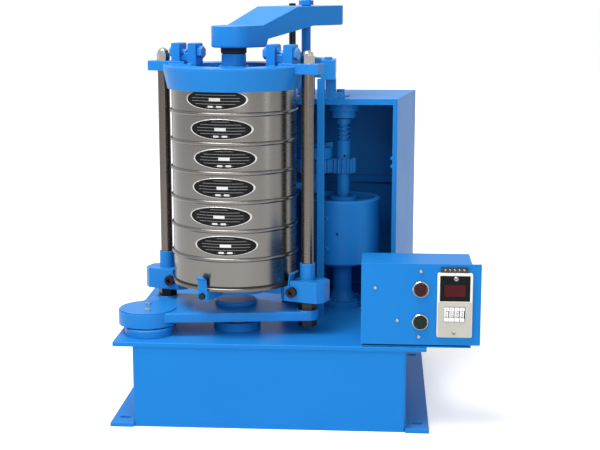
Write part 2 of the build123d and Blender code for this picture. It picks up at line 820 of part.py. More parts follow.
def frame_parts():
    """Pillar, tap bracket and open sheet cabinet."""
    with BuildPart() as pillar:
        with BuildSketch(Plane.XY.offset(bed_top)):
            with Locations((pillar_x + pillar_w / 2, pillar_front + pillar_d / 2)):
                Rectangle(pillar_w, pillar_d)
        extrude(amount=bracket_z - bed_top)
        chamfer(pillar.edges().filter_by(Axis.Z), 0.8)
    finish(pillar, "pillar")

    block_x = pillar_x + 6 + bracket_w / 2
    with BuildPart() as tap_bracket:
        with BuildSketch(Plane.XY.offset(bracket_z)):
            with BuildLine():
                CenterArc((rod_x, rod_y), rod_boss_r, 0, 360)
                CenterArc((block_x, 8), 10, 0, 360)
            make_hull()
            with BuildLine():
                CenterArc((rod_x, rod_y), rod_boss_r - 3, 0, 360)
                CenterArc((guide_x, guide_y), guide_boss_r, 0, 360)
            make_hull()
            with Locations((block_x, pillar_front + 26)):
                Rectangle(bracket_w, 52)
        extrude(amount=bracket_h)
        fillet(tap_bracket.faces().sort_by(Axis.Z)[-1].edges(), 1.5)
        with Locations((rod_x, rod_y, cab_top + 2)):
            Cylinder(rod_boss_r, bracket_z - cab_top - 2, align=UP)
        with BuildSketch(Plane.XY.offset(cab_top)):
            with Locations((pillar_x + pillar_w + riser_w / 2, 14)):
                Rectangle(riser_w, 28)
            with Locations((pillar_x + pillar_w + riser_w + 7, 14)):
                Rectangle(16, 24)
        extrude(amount=11)
        with BuildSketch(Plane.XY.offset(cab_top)):
            with Locations((pillar_x + pillar_w + riser_w / 2, 14)):
                Rectangle(riser_w, 28)
        extrude(amount=bracket_z - cab_top)
        with BuildSketch(Plane.XY.offset(cab_top)):
            with Locations((rod_x, rod_y)):
                Circle(rod_r + 3)
            with Locations((guide_x, guide_y)):
                Circle(guide_r + 3)
        extrude(amount=bracket_z + bracket_h - cab_top, mode=Mode.SUBTRACT)
    finish(tap_bracket, "tap_bracket")

    outer = (
        (cab_left, cab_front),
        (cab_right, cab_front),
        (cab_right + cab_splay, cab_front + cab_depth),
        (cab_left, cab_front + cab_depth),
    )
    slope = cab_splay / cab_depth
    wall_x = cab_t * sqrt(1 + slope * slope)
    inner = (
        (cab_left + cab_t, cab_front - 1),
        (cab_right - wall_x - slope, cab_front - 1),
        (cab_right + slope * (cab_depth - cab_t) - wall_x, cab_front + cab_depth - cab_t),
        (cab_left + cab_t, cab_front + cab_depth - cab_t),
    )
    cab_h = cab_top - bed_top
    with BuildPart() as cabinet:
        with BuildSketch(Plane.XY.offset(bed_top)):
            Polygon(*outer, align=None)
        extrude(amount=cab_h)
        with BuildSketch(Plane.XY.offset(bed_top)):
            Polygon(*inner, align=None)
        extrude(amount=cab_h - cab_t, mode=Mode.SUBTRACT)
        with Locations(((cab_left + cab_right) / 2, cab_front + cab_t / 2, cab_top - cab_lip)):
            Box(cab_right - cab_left - 2, cab_t, cab_lip, align=UP)
        with Locations((cab_right - cab_lip / 2 + 1, cab_front + cab_t / 2, bed_top)):
            Box(cab_lip - 2, cab_t, cab_h - 2, align=UP)
        with Locations((cab_left + cab_lip / 2, cab_front + cab_t / 2, bed_top)):
            Box(cab_lip, cab_t, cab_h - 2, align=UP)
        for height in (398.0, 412.0):
            with Locations((cab_right - cab_lip + 1, cab_front + cab_t / 2, height)):
                Box(4, cab_t, 5)
        with Locations(((cab_left + cab_right) / 2, cab_front + cab_depth - cab_t - 6, 341.0)):
            Box(cab_right - cab_left - 4, 12, 12, align=UP)
        with BuildSketch(Plane.XY.offset(cab_top - cab_t)):
            with Locations((rod_x, rod_y)):
                Circle(rod_r + 4)
            with Locations((guide_x, guide_y)):
                Circle(guide_r + 3)
            with Locations((drive_x, drive_y)):
                Circle(journal_r + 3)
        extrude(amount=cab_t, mode=Mode.SUBTRACT)
    finish(cabinet, "cabinet")

    with BuildPart() as cam_shelf:
        with BuildSketch(Plane.XY.offset(shelf_z)):
            with Locations((cab_left + cab_t, cam_y)):
                Rectangle(cam_x - cab_left - cab_t, 44, align=(Align.MIN, Align.CENTER))
        extrude(amount=shelf_t)
        with Locations((cam_x, cam_y, shelf_z - 8)):
            Cylinder(cam_shaft_r + bush_wall + 5, shelf_t + 16, align=UP)
        with Locations((cab_left + cab_t, cam_y, shelf_z - 30)):
            Box(6, 44, 30, align=(Align.MIN, Align.CENTER, Align.MIN))
        with Locations((cam_x, cam_y, shelf_z - 8)):
            Cylinder(cam_shaft_r + bush_wall, shelf_t + 16, align=UP, mode=Mode.SUBTRACT)
    finish(cam_shelf, "cam_shelf")


def involute(base_r, radius):
    """Angle of roll of an involute at a radius."""
    pressure = acos(base_r / radius)
    return tan(pressure) - pressure


def gear_face(teeth, start):
    """Closed outline of a spur gear with involute flanks."""
    pitch_r = gear_module * teeth / 2
    base_r = pitch_r * cos(radians(20))
    tip_r = pitch_r + 0.92 * gear_module
    root_r = pitch_r - 1.2 * gear_module
    half_tooth = pi / (2 * teeth) - backlash / (2 * pitch_r) + involute(base_r, pitch_r)
    low_r = max(base_r, root_r) + 0.02
    radii = [low_r + (tip_r - low_r) * step / 4 for step in range(5)]
    points = []
    for tooth in range(teeth):
        middle = start + 2 * pi * tooth / teeth
        angles = [half_tooth - involute(base_r, radius) for radius in radii]
        points.append((root_r, middle - half_tooth))
        points += [(radius, middle - angle) for radius, angle in zip(radii, angles)]
        points += [(radius, middle + angle) for radius, angle in zip(reversed(radii), reversed(angles))]
        points.append((root_r, middle + half_tooth))
    return [(radius * cos(angle), radius * sin(angle)) for radius, angle in points]


def drive_parts():
    """Drive shaft with pinion, sleeve and spring, and the cam shaft with gear and face cam."""
    with BuildPart() as drive_shaft:
        with Locations((drive_x, drive_y, pulley_z)):
            Cylinder(core_r, motor_z + motor_h + 4 - pulley_z, align=UP)
        with Locations((drive_x, drive_y, motor_z + motor_h + 4)):
            Cylinder(drive_r, gear_z - motor_z - motor_h - 4, align=UP)
        with Locations((drive_x, drive_y, gear_z)):
            Cylinder(journal_r, cab_top - gear_z + 2, align=UP)
        spring_top = cab_top - cab_t - top_boss_h - 2
        with Locations((drive_x, drive_y, spring_top - 9)):
            Cylinder(sleeve_r, 9, align=UP)
    finish(drive_shaft, "drive_shaft")

    with BuildPart() as pinion:
        with BuildSketch(Plane.XY.offset(gear_z)):
            with Locations((drive_x, drive_y)):
                Polygon(*gear_face(pinion_teeth, pi), align=None)
        extrude(amount=gear_h)
        with Locations((drive_x, drive_y, gear_z + gear_h)):
            Cylinder(sleeve_r, sleeve_h, align=UP)
        with Locations((drive_x, drive_y, gear_z)):
            Cylinder(journal_r, gear_h + sleeve_h, align=UP, mode=Mode.SUBTRACT)
        set_screw = Plane(origin=(drive_x, drive_y, gear_z + gear_h + 5), x_dir=(0, 0, 1), z_dir=(0.2, -1, 0))
        with BuildSketch(set_screw.offset(journal_r)):
            Circle(2.2)
        extrude(amount=8, mode=Mode.SUBTRACT)
    finish(pinion, "pinion")

    spring_low = gear_z + gear_h + sleeve_h + spring_wire / 2
    spring_h = spring_top - 9 - spring_low - spring_wire / 2
    spring_r = sleeve_r - spring_wire / 2
    with BuildPart() as preload_spring:
        with BuildLine() as coil:
            Helix(
                pitch=spring_h / spring_turns, height=spring_h, radius=spring_r,
                center=(drive_x, drive_y, spring_low),
            )
        with BuildSketch(Plane(origin=coil.line @ 0, z_dir=coil.line % 0)):
            Circle(spring_wire / 2)
        sweep(is_frenet=True)
    finish(preload_spring, "preload_spring")

    with BuildPart() as cam_gear:
        with BuildSketch(Plane.XY.offset(gear_z + 1)):
            with Locations((cam_x, cam_y)):
                Polygon(*gear_face(cam_teeth, pi / cam_teeth), align=None)
        extrude(amount=gear_h - 2)
        with Locations((cam_x, cam_y, shelf_z + shelf_t + 8)):
            Cylinder(cam_shaft_r + 5, gear_z + 1 - shelf_z - shelf_t - 8, align=UP)
        with Locations((cam_x, cam_y, shelf_z - 8)):
            Cylinder(cam_shaft_r, cam_low - 4 - shelf_z + 8, align=UP)
    finish(cam_gear, "cam_gear")

    cam_z = gear_z + gear_h + 0.5
    with BuildPart() as face_cam:
        with Locations((cam_x, cam_y, cam_z - 1.5)):
            Cylinder(cam_shaft_r + 6, 1.5, align=UP)
        with Locations((cam_x, cam_y, cam_z)):
            Cylinder(cam_r, cam_high - cam_z, align=UP)
        ramp_plane = Plane(origin=(cam_x, cam_y, 0), x_dir=(1, 0, 0), z_dir=(0, -1, 0))
        with BuildSketch(ramp_plane):
            with BuildLine():
                Polyline(
                    (-cam_r - 1, cam_low),
                    (cam_r + 1, cam_high + 0.01),
                    (cam_r + 1, cam_high + 5),
                    (-cam_r - 1, cam_high + 5),
                    (-cam_r - 1, cam_low),
                )
            make_face()
        extrude(amount=-cam_r - 1, mode=Mode.SUBTRACT)
        with BuildSketch(ramp_plane):
            with Locations((0, (cam_low + cam_high + 5) / 2)):
                Rectangle(2 * cam_r + 2, cam_high + 5 - cam_low)
        extrude(amount=cam_r + 1, mode=Mode.SUBTRACT)
        with Locations((cam_x, cam_y, cam_z - 1.5)):
            Cylinder(cam_shaft_r, cam_high - cam_z + 1.5, align=UP, mode=Mode.SUBTRACT)
    finish(face_cam, "face_cam")


def motor_parts():
    """Drum-shaped motor on its pedestal, and the screws of the frame."""
    with BuildPart() as motor:
        with Locations((drive_x, drive_y, motor_z)):
            Cylinder(motor_r, motor_h, align=UP)
        chamfer(motor.edges().filter_by(GeomType.CIRCLE), 2)
        with BuildSketch(Plane.XY.offset(motor_z + motor_h)):
            with Locations((drive_x, drive_y)):
                Circle(motor_r - 9)
                Circle(24, mode=Mode.SUBTRACT)
        extrude(amount=-8, mode=Mode.SUBTRACT)
        with Locations((drive_x, drive_y, motor_z)):
            Cylinder(core_r + free_gap, motor_h, align=UP, mode=Mode.SUBTRACT)
        tap = Plane(origin=(drive_x, drive_y, 279), x_dir=(0, 0, 1), z_dir=(-0.123, -0.992, 0))
        with BuildSketch(tap.offset(motor_r - 8)):
            Circle(2.4)
        extrude(amount=10, mode=Mode.SUBTRACT)
        with Locations((drive_x, drive_y, bed_top)):
            Cylinder(neck_r, motor_z - bed_top, align=UP)
            Cylinder(40, 9, align=UP)
        with Locations((drive_x, drive_y, bed_top + 9)):
            Cone(neck_r + 9, neck_r, 16, align=UP)
        with Locations((drive_x, drive_y, motor_z - 9)):
            Cylinder(34, 9, align=UP)
        with Locations((drive_x, drive_y, bed_top)):
            Cylinder(core_r + free_gap, motor_z - bed_top + 5, align=UP, mode=Mode.SUBTRACT)
    finish(motor, "motor")

    bolt_x = pillar_x + 6 + bracket_w / 2
    with BuildPart() as frame_screws:
        for height in (305.0, 252.0):
            seat = Plane(origin=(drive_x, drive_y, height), x_dir=(0, 0, 1), z_dir=(-0.414, -0.910, 0))
            with BuildSketch(seat.offset(motor_r)):
                Circle(5.5)
            extrude(amount=6)
            with BuildSketch(seat.offset(motor_r + 6)):
                RegularPolygon(2.9, 6)
            extrude(amount=-3, mode=Mode.SUBTRACT)
        with BuildSketch(Plane.XY.offset(bracket_z + bracket_h)):
            with Locations((bolt_x, pillar_front + 14)):
                RegularPolygon(hexagon(11), 6)
        extrude(amount=4)
        with BuildSketch(Plane.XY.offset(cab_top + 11)):
            with Locations((pillar_x + pillar_w + riser_w + 8, 14)):
                RegularPolygon(hexagon(11), 6)
        extrude(amount=5)
        with BuildSketch(Plane.XY.offset(bed_top + 9)):
            with Locations((drive_x, drive_y)):
                with PolarLocations(33, 4, start_angle=45):
                    RegularPolygon(hexagon(9), 6)
        extrude(amount=4)
        for x, z in panel_rivets:
            with BuildSketch(Plane.XZ.offset(-panel_y)):
                with Locations((x, z)):
                    Circle(3)
            extrude(amount=1.6)
    finish(frame_screws, "frame_screws")


def swing_screw_parts():
    """Fasteners that ride on the swing plate and the tray."""
    with BuildPart() as swing_screws:
        for dx, dy in ((-3, 20), (3, -20)):
            with Locations((idler_pin_x + dx, idler_pin_y + dy, swing_top + cover_t)):
                Cylinder(5, 2, align=UP)
            with Locations((idler_pin_x + dx, idler_pin_y + dy, swing_top)):
                Cylinder(2.5, cover_t, align=UP)
        for side in (1, -1):
            front = Plane(
                origin=(*on_posts(side * (post_reach - 18), -block_w / 2), block_z + 16),
                x_dir=(0, 0, 1),
                z_dir=(post_dir[1], -post_dir[0], 0),
            )
            with BuildSketch(front):
                Circle(8.5)
            extrude(amount=7)
            with BuildSketch(front.offset(7)):
                RegularPolygon(4.2, 6)
            extrude(amount=-4, mode=Mode.SUBTRACT)
        for angle in foot_clips:
            outward = (cos(radians(angle)), sin(radians(angle)), 0)
            seat = Plane(origin=(stack_x, stack_y, tray_z - arm_t / 2), x_dir=(0, 0, 1), z_dir=outward)
            with BuildSketch(seat.offset(tray_r + 1 + clip_t)):
                RegularPolygon(hexagon(10), 6)
            extrude(amount=4)
        for side in (1, -1):
            with BuildSketch(ring_bolt_plane.offset(side * (tower_in - 6))):
                Circle(ring_bolt_r)
            extrude(amount=side * (tower_out + tower_t - tower_in + 8))
            with BuildSketch(ring_bolt_plane.offset(side * (tower_in - 8))):
                RegularPolygon(hexagon(hex_flats), 6)
            extrude(amount=side * 8)
            with BuildSketch(ring_bolt_plane.offset(side * (tower_out + tower_t))):
                RegularPolygon(hexagon(hex_flats), 6)
            extrude(amount=side * 6)
    finish(swing_screws, "swing_screws")


def control_parts():
    """Control box with its panel, push buttons, timer and cable gland."""
    box_low = bed_top
    mid_x = box_x + box_w / 2
    mid_y = box_y + box_d / 2
    with BuildPart() as control_box:
        with Locations((mid_x, mid_y, box_low)):
            Box(box_w, box_d, box_h, align=UP)
        with Locations((mid_x, mid_y - box_t, box_low + box_t)):
            Box(box_w - 2 * box_t, box_d, box_h - 2 * box_t, align=UP, mode=Mode.SUBTRACT)
        with BuildSketch(Plane.XZ.offset(-box_y - box_d)):
            with Locations((mid_x + 40, box_low + 30)):
                Circle(8)
        extrude(amount=box_t, mode=Mode.SUBTRACT)
    finish(control_box, "control_box")

    face = Plane.XZ.offset(-panel_y)
    with BuildPart() as control_panel:
        with BuildSketch(face.offset(-panel_t)):
            with Locations((box_x + panel_w / 2, panel_low + panel_h / 2)):
                RectangleRounded(panel_w, panel_h, 2)
            with Locations((button_x, red_z), (button_x, green_z)):
                Circle(bezel_r - 2, mode=Mode.SUBTRACT)
            with Locations((timer_x, timer_z)):
                Rectangle(timer_w - 8, timer_h - 8, mode=Mode.SUBTRACT)
        extrude(amount=panel_t)
        with BuildSketch(face.offset(-panel_t)):
            with Locations((box_x + panel_w - panel_t / 2, panel_low + panel_h / 2)):
                Rectangle(panel_t, panel_h - 4)
        extrude(amount=-panel_fold)
    finish(control_panel, "control_panel")

    with BuildPart() as button_bezels:
        for z in (red_z, green_z):
            with BuildSketch(face):
                with Locations((button_x, z)):
                    Circle(bezel_r)
            extrude(amount=4)
            with BuildSketch(face):
                with Locations((button_x, z)):
                    Circle(bezel_r - 2)
            extrude(amount=-24)
        chamfer(button_bezels.faces().group_by(Axis.Y)[0].edges(), 1)
        for z in (red_z, green_z):
            with BuildSketch(face.offset(4)):
                with Locations((button_x, z)):
                    Circle(button_r + free_gap)
            extrude(amount=-20, mode=Mode.SUBTRACT)
    finish(button_bezels, "button_bezels")

    for label, z in (("red_button", red_z), ("green_button", green_z)):
        with BuildPart() as button:
            with BuildSketch(face.offset(button_out + 1)):
                with Locations((button_x, z)):
                    Circle(button_r)
            extrude(amount=-16)
            fillet(button.faces().sort_by(Axis.Y)[0].edges(), 1.2)
        finish(button, label)

    front = Plane.XZ.offset(-timer_front)
    window_z = timer_z + timer_h / 2 - 4 - window_h / 2
    wheel_y = timer_front + wheel_r + 0.8
    slots = [timer_x + (number - (wheel_count - 1) / 2) * wheel_pitch for number in range(wheel_count)]
    with BuildPart() as timer_housing:
        with BuildSketch(front):
            with Locations((timer_x, timer_z)):
                RectangleRounded(timer_w, timer_h, 3)
        extrude(amount=-timer_out)
        fillet(timer_housing.faces().sort_by(Axis.Y)[0].outer_wire().edges(), 1.2)
        with BuildSketch(face):
            with Locations((timer_x, timer_z)):
                Rectangle(timer_w - 9, timer_h - 9)
        extrude(amount=-62)
        with BuildSketch(front):
            with Locations((timer_x, window_z)):
                Rectangle(timer_w - 8, window_h)
        extrude(amount=-3, mode=Mode.SUBTRACT)
        with Locations((timer_x, timer_front, wheel_z)):
            Box(wheel_pitch * wheel_count + 1, 2 * (2 * wheel_r + 2), 2 * (key_high + 1.2), mode=Mode.SUBTRACT)
        with Locations((timer_x, wheel_y, wheel_z)):
            Cylinder(axle_r, wheel_pitch * wheel_count + 2, rotation=(0, 90, 0))
        with BuildSketch(face):
            with Locations((timer_x - 1, timer_z + timer_h / 2 + 4.2)):
                Rectangle(42, 8)
        extrude(amount=4)
    finish(timer_housing, "timer_housing")

    with BuildPart() as timer_window:
        with BuildSketch(front.offset(-3)):
            with Locations((timer_x, window_z)):
                Rectangle(timer_w - 8, window_h)
        extrude(amount=2)
    finish(timer_window, "timer_window")

    for number, x in enumerate(slots, 1):
        with BuildPart() as digit_wheel:
            with BuildSketch(Plane.YZ.offset(x - wheel_w / 2)):
                with Locations((wheel_y, wheel_z)):
                    RegularPolygon(wheel_r, 10)
                    Circle(axle_r + run_gap, mode=Mode.SUBTRACT)
            extrude(amount=wheel_w)
        finish(digit_wheel, f"digit_wheel_{number}")

        web_x = x - wheel_w / 2 - 0.4 - key_web
        with BuildPart() as key_rocker:
            with BuildSketch(Plane.YZ.offset(web_x)):
                with Locations((wheel_y, wheel_z)):
                    Circle(4)
                with Locations((wheel_y - key_reach, wheel_z)):
                    Rectangle(key_reach, 3, align=(Align.MIN, Align.CENTER))
                    Rectangle(key_depth, 2 * key_high, align=(Align.MIN, Align.CENTER))
                with Locations((wheel_y, wheel_z)):
                    Circle(axle_r + run_gap, mode=Mode.SUBTRACT)
            extrude(amount=key_web)
            with BuildSketch(Plane.YZ.offset(web_x)):
                for side in (1, -1):
                    with Locations((wheel_y - key_reach + key_depth / 2, wheel_z + side * (key_low + key_high) / 2)):
                        Rectangle(key_depth, key_high - key_low)
            extrude(amount=key_w)
        finish(key_rocker, f"key_rocker_{number}")

    with BuildPart() as cable_gland:
        with BuildSketch(Plane.XZ.offset(-box_y - box_d)):
            with Locations((mid_x + 40, box_low + 30)):
                RegularPolygon(hexagon(22), 6)
        extrude(amount=-8)
        with BuildSketch(Plane.XZ.offset(-box_y - box_d - 8)):
            with Locations((mid_x + 40, box_low + 30)):
                Circle(9)
        extrude(amount=-10, taper=8)
        with BuildSketch(Plane.XZ.offset(-box_y - box_d)):
            with Locations((mid_x + 40, box_low + 30)):
                Circle(8)
        extrude(amount=box_t + 8)
        with BuildSketch(Plane.XZ.offset(-box_y - box_d + box_t + 8)):
            with Locations((mid_x + 40, box_low + 30)):
                Circle(4.5)
        extrude(amount=-30, mode=Mode.SUBTRACT)
    finish(cable_gland, "cable_gland")


base_parts()
bearing_parts()
crank_parts()
swing_parts()
post_parts()
tray_parts()
stack_parts()
ring_parts()
hammer_parts()
frame_parts()
drive_parts()
motor_parts()
swing_screw_parts()
control_parts()
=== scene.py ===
# %% [markdown]
# A top-tapping sieve shaker: a stack of round test sieves rides on a circling cast plate,
# and a hammer arm taps the lid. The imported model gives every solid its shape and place.
# This notebook dresses it in enamel, brushed steel, rubber and plastic, and adds the small
# pieces that a press or a mould makes, each worked out with numpy as a surface of two
# parameters. Lengths are in metres throughout.

import bmesh
import bpy
import numpy as np
from mathutils import Matrix, Vector


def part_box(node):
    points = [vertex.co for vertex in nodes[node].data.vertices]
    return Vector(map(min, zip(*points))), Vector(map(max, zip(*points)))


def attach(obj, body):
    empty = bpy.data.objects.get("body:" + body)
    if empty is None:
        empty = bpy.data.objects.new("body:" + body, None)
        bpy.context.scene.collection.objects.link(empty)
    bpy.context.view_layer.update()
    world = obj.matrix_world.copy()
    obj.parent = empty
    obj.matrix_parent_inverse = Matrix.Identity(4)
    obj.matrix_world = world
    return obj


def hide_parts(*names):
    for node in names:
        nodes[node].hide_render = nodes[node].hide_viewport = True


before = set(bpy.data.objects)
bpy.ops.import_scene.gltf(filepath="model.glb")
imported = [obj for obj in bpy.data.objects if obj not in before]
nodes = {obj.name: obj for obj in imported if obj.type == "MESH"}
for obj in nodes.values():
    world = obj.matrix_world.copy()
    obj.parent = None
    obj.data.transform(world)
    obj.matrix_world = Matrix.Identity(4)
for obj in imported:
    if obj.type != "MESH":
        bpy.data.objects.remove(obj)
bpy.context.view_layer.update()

# %% [markdown]
# The camera stands a little over two metres in front of the machine, near the height of its
# top, and looks slightly down. It could be aimed at a point by a constraint. A yaw and a
# pitch are plain numbers that are easy to fit to a picture, so its three axes are worked
# out from them. A long lens keeps the round sieves nearly level, as in a catalogue picture.

# %% Camera
CAMERA_AT = Vector((0.1794, -2.1396, 0.6905))
CAMERA_YAW = 0.067
CAMERA_PITCH = 0.183
CAMERA_LENS = 75.2
SENSOR_WIDTH = 36.0

camera = bpy.data.objects.new("camera", bpy.data.cameras.new("camera"))
bpy.context.collection.objects.link(camera)
camera.data.sensor_width = SENSOR_WIDTH
camera.data.lens = CAMERA_LENS
forward = Vector((
    -np.sin(CAMERA_YAW) * np.cos(CAMERA_PITCH),
    np.cos(CAMERA_YAW) * np.cos(CAMERA_PITCH),
    -np.sin(CAMERA_PITCH),
))
right = forward.cross(Vector((0, 0, 1))).normalized()
upward = right.cross(forward)
turn = Matrix((right, upward, -forward)).transposed()
camera.matrix_world = Matrix.Translation(CAMERA_AT) @ turn.to_4x4()
bpy.context.scene.camera = camera
bpy.context.scene.view_settings.view_transform = "Standard"
print("lens", camera.data.lens, "from", [round(v, 3) for v in camera.location])

# %% [markdown]
# A material is a small graph. It could be wired with a line of code for each node and each
# link, which is long and hard to follow. These helpers make a node with its settings, its
# values and its links in one call, so that a graph reads like a formula. What several
# finishes share is built once as a group with named inputs and outputs.

# %% Helpers for node graphs
def new_group(name, inputs, outputs):
    """An empty shader group whose sockets are named by the two tables."""
    group = bpy.data.node_groups.new(name, "ShaderNodeTree")
    for label, (kind, value) in inputs.items():
        socket = group.interface.new_socket(label, in_out="INPUT", socket_type=kind)
        socket.default_value = value
    for label, kind in outputs.items():
        group.interface.new_socket(label, in_out="OUTPUT", socket_type=kind)
    return group, group.nodes.new("NodeGroupInput"), group.nodes.new("NodeGroupOutput")


def node(tree, kind, inputs=None, **settings):
    """One node with its settings, its plain values and its links given together."""
    made = tree.nodes.new(kind)
    for key, value in settings.items():
        setattr(made, key, value)
    for key, value in (inputs or {}).items():
        if isinstance(value, bpy.types.NodeSocket):
            tree.links.new(value, made.inputs[key])
        else:
            made.inputs[key].default_value = value
    return made


def maths(tree, operation, first, second=0.0, third=0.0):
    """A Math node's result for plain numbers or sockets."""
    made = node(tree, "ShaderNodeMath", {0: first, 1: second, 2: third}, operation=operation)
    return made.outputs[0]


def mix_colour(tree, factor, first, second):
    """Blend of two colours by a factor."""
    made = node(
        tree, "ShaderNodeMix", {"Factor": factor, "A": first, "B": second}, data_type="RGBA"
    )
    return made.outputs["Result"]


FLOAT, VECTOR = "NodeSocketFloat", "NodeSocketVector"
print("socket kinds", FLOAT, VECTOR)

# %% [markdown]
# Paint, plastic and rubber are never quite even: the tone drifts over a hand's width, and a
# fine texture catches the light. An image would need a map for each piece. Noise on Object
# coordinates needs none and keeps its scale from piece to piece, so one group gives a slow
# noise and a quick one, and each finish chooses the two scales.

# %% Group: speckle, two sizes of soft noise
def build_speckle():
    """Noise at a coarse and at a fine scale, each from 0 to 1, on Object coordinates."""
    group, given, result = new_group(
        "speckle",
        {"Coarse scale": (FLOAT, 20.0), "Fine scale": (FLOAT, 900.0)},
        {"Coarse": FLOAT, "Fine": FLOAT},
    )
    place = node(group, "ShaderNodeTexCoord").outputs["Object"]
    coarse = node(
        group, "ShaderNodeTexNoise",
        {"Vector": place, "Scale": given.outputs["Coarse scale"], "Detail": 4.0},
    )
    fine = node(
        group, "ShaderNodeTexNoise",
        {"Vector": place, "Scale": given.outputs["Fine scale"], "Detail": 2.0},
    )
    group.links.new(coarse.outputs[0], result.inputs["Coarse"])
    group.links.new(fine.outputs[0], result.inputs["Fine"])
    return group


speckle = build_speckle()
print("group", speckle.name, len(speckle.nodes), "nodes")

# %% [markdown]
# Brushing and turning leave fine parallel lines. They could come from an image stretched one
# way. Here one noise is squeezed hundreds of times more along Z than along X and Y, so that
# it draws out into thin lines round everything that stands upright.

# %% Group: brushed grain
def build_grain():
    """Noise squeezed along X, Y and Z by three scales, so that it draws out into lines."""
    group, given, result = new_group(
        "grain",
        {"X scale": (FLOAT, 8.0), "Y scale": (FLOAT, 8.0), "Z scale": (FLOAT, 1500.0)},
        {"Lines": FLOAT},
    )
    place = node(group, "ShaderNodeTexCoord").outputs["Object"]
    scale = node(
        group, "ShaderNodeCombineXYZ",
        {
            "X": given.outputs["X scale"],
            "Y": given.outputs["Y scale"],
            "Z": given.outputs["Z scale"],
        },
    )
    stretched = node(
        group, "ShaderNodeVectorMath", {0: place, 1: scale.outputs[0]}, operation="MULTIPLY"
    )
    lines = node(
        group, "ShaderNodeTexNoise", {"Vector": stretched.outputs[0], "Scale": 1.0, "Detail": 3.0}
    )
    group.links.new(lines.outputs[0], result.inputs["Lines"])
    return group


grain = build_grain()
print("group", grain.name, len(grain.nodes), "nodes")

# %% [markdown]
# A sprayed edge is a little round and catches the light. Modelled fillets on every edge would
# cost thousands of faces. A Bevel node turns the normal near an edge as a small rounding would
# and leaves the mesh alone. How far the normal turns is the mask of a painted highlight, which
# the enamel paints a paler blue along its edges.

# %% Group: softened edges
def build_soft_edge():
    """Normal rounded over a radius, and how far it leans from the true one as a painted-highlight
    mask.
    """
    group, given, result = new_group(
        "soft_edge",
        {"Radius": (FLOAT, 0.0012), "Reach": (FLOAT, 0.12), "Break up": (FLOAT, 1.0)},
        {"Mask": FLOAT, "Normal": VECTOR},
    )
    rounded = node(group, "ShaderNodeBevel", {"Radius": given.outputs["Radius"]}, samples=4)
    true = node(group, "ShaderNodeNewGeometry").outputs["Normal"]
    along = node(
        group, "ShaderNodeVectorMath", {0: rounded.outputs[0], 1: true}, operation="DOT_PRODUCT"
    )
    lean = maths(group, "SUBTRACT", 1.0, along.outputs["Value"])
    ramp = node(
        group, "ShaderNodeMapRange",
        {"Value": lean, "From Min": 0.0, "From Max": given.outputs["Reach"]},
    )
    place = node(group, "ShaderNodeTexCoord").outputs["Object"]
    noise = node(group, "ShaderNodeTexNoise", {"Vector": place, "Scale": 120.0, "Detail": 4.0})
    broken = maths(group, "MULTIPLY", noise.outputs[0], given.outputs["Break up"])
    mask = maths(group, "MULTIPLY", ramp.outputs[0], broken)
    group.links.new(mask, result.inputs["Mask"])
    group.links.new(rounded.outputs[0], result.inputs["Normal"])
    return group


soft_edge = build_soft_edge()
print("group", soft_edge.name, len(soft_edge.nodes), "nodes")

# %% [markdown]
# Every finish starts as a Principled shader with a few plain values, and noise is then laid
# over its colour, roughness and normal. Whatever is the same all over stays a number on the
# shader's own socket, because a number there is read by every other program as well.

# %% Material maker
def place_group(tree, group, **values):
    """A node that holds the group, with its inputs set by name."""
    made = tree.nodes.new("ShaderNodeGroup")
    made.node_tree = group
    for key, value in values.items():
        made.inputs[key.replace("_", " ")].default_value = value
    return made


def new_material(name, metallic=0.0, roughness=0.5, **sockets):
    """A Principled material with its plain values. Returns it with its tree and shader."""
    material = bpy.data.materials.new(name)
    material.use_nodes = True
    tree = material.node_tree
    shader = tree.nodes["Principled BSDF"]
    shader.inputs["Metallic"].default_value = metallic
    shader.inputs["Roughness"].default_value = roughness
    for key, value in sockets.items():
        shader.inputs[key.replace("_", " ")].default_value = value
    return material, tree, shader


def bump(tree, shader, height, strength, distance, normal=None):
    """Feed a height, over a softened normal where one is given, into the shader's normal."""
    made = node(
        tree, "ShaderNodeBump", {"Height": height, "Strength": strength, "Distance": distance}
    )
    if normal is not None:
        tree.links.new(normal, made.inputs["Normal"])
    tree.links.new(made.outputs[0], shader.inputs["Normal"])


def linear(red, green, blue):
    """Linear colour for a colour written as it looks on a screen, 0 to 255."""
    seen = np.array([red, green, blue]) / 255.0
    value = np.where(seen <= 0.04045, seen / 12.92, ((seen + 0.055) / 1.055) ** 2.4)
    return (*[float(v) for v in value], 1.0)


print("mid grey in linear values", round(linear(128, 128, 128)[0], 3))

# %% [markdown]
# Everything cast or folded is sprayed with the same bright blue enamel, also the screws that
# were in place at the time. The coat has a soft gloss and a faint orange peel, and its sharp
# edges get a painted highlight, a paler blue that stands for the light they catch. On the
# castings the sand's grain shows through it, and on the sheet it is flat. Two finishes from
# one function keep the colour the same on both.

# %% Enamel on castings and on sheet
ENAMEL = linear(30, 122, 197)
ENAMEL_DEEP = linear(26, 115, 189)
# A paler blue for the painted highlight along sharp edges.
ENAMEL_EDGE_HIGHLIGHT = linear(84, 162, 230)


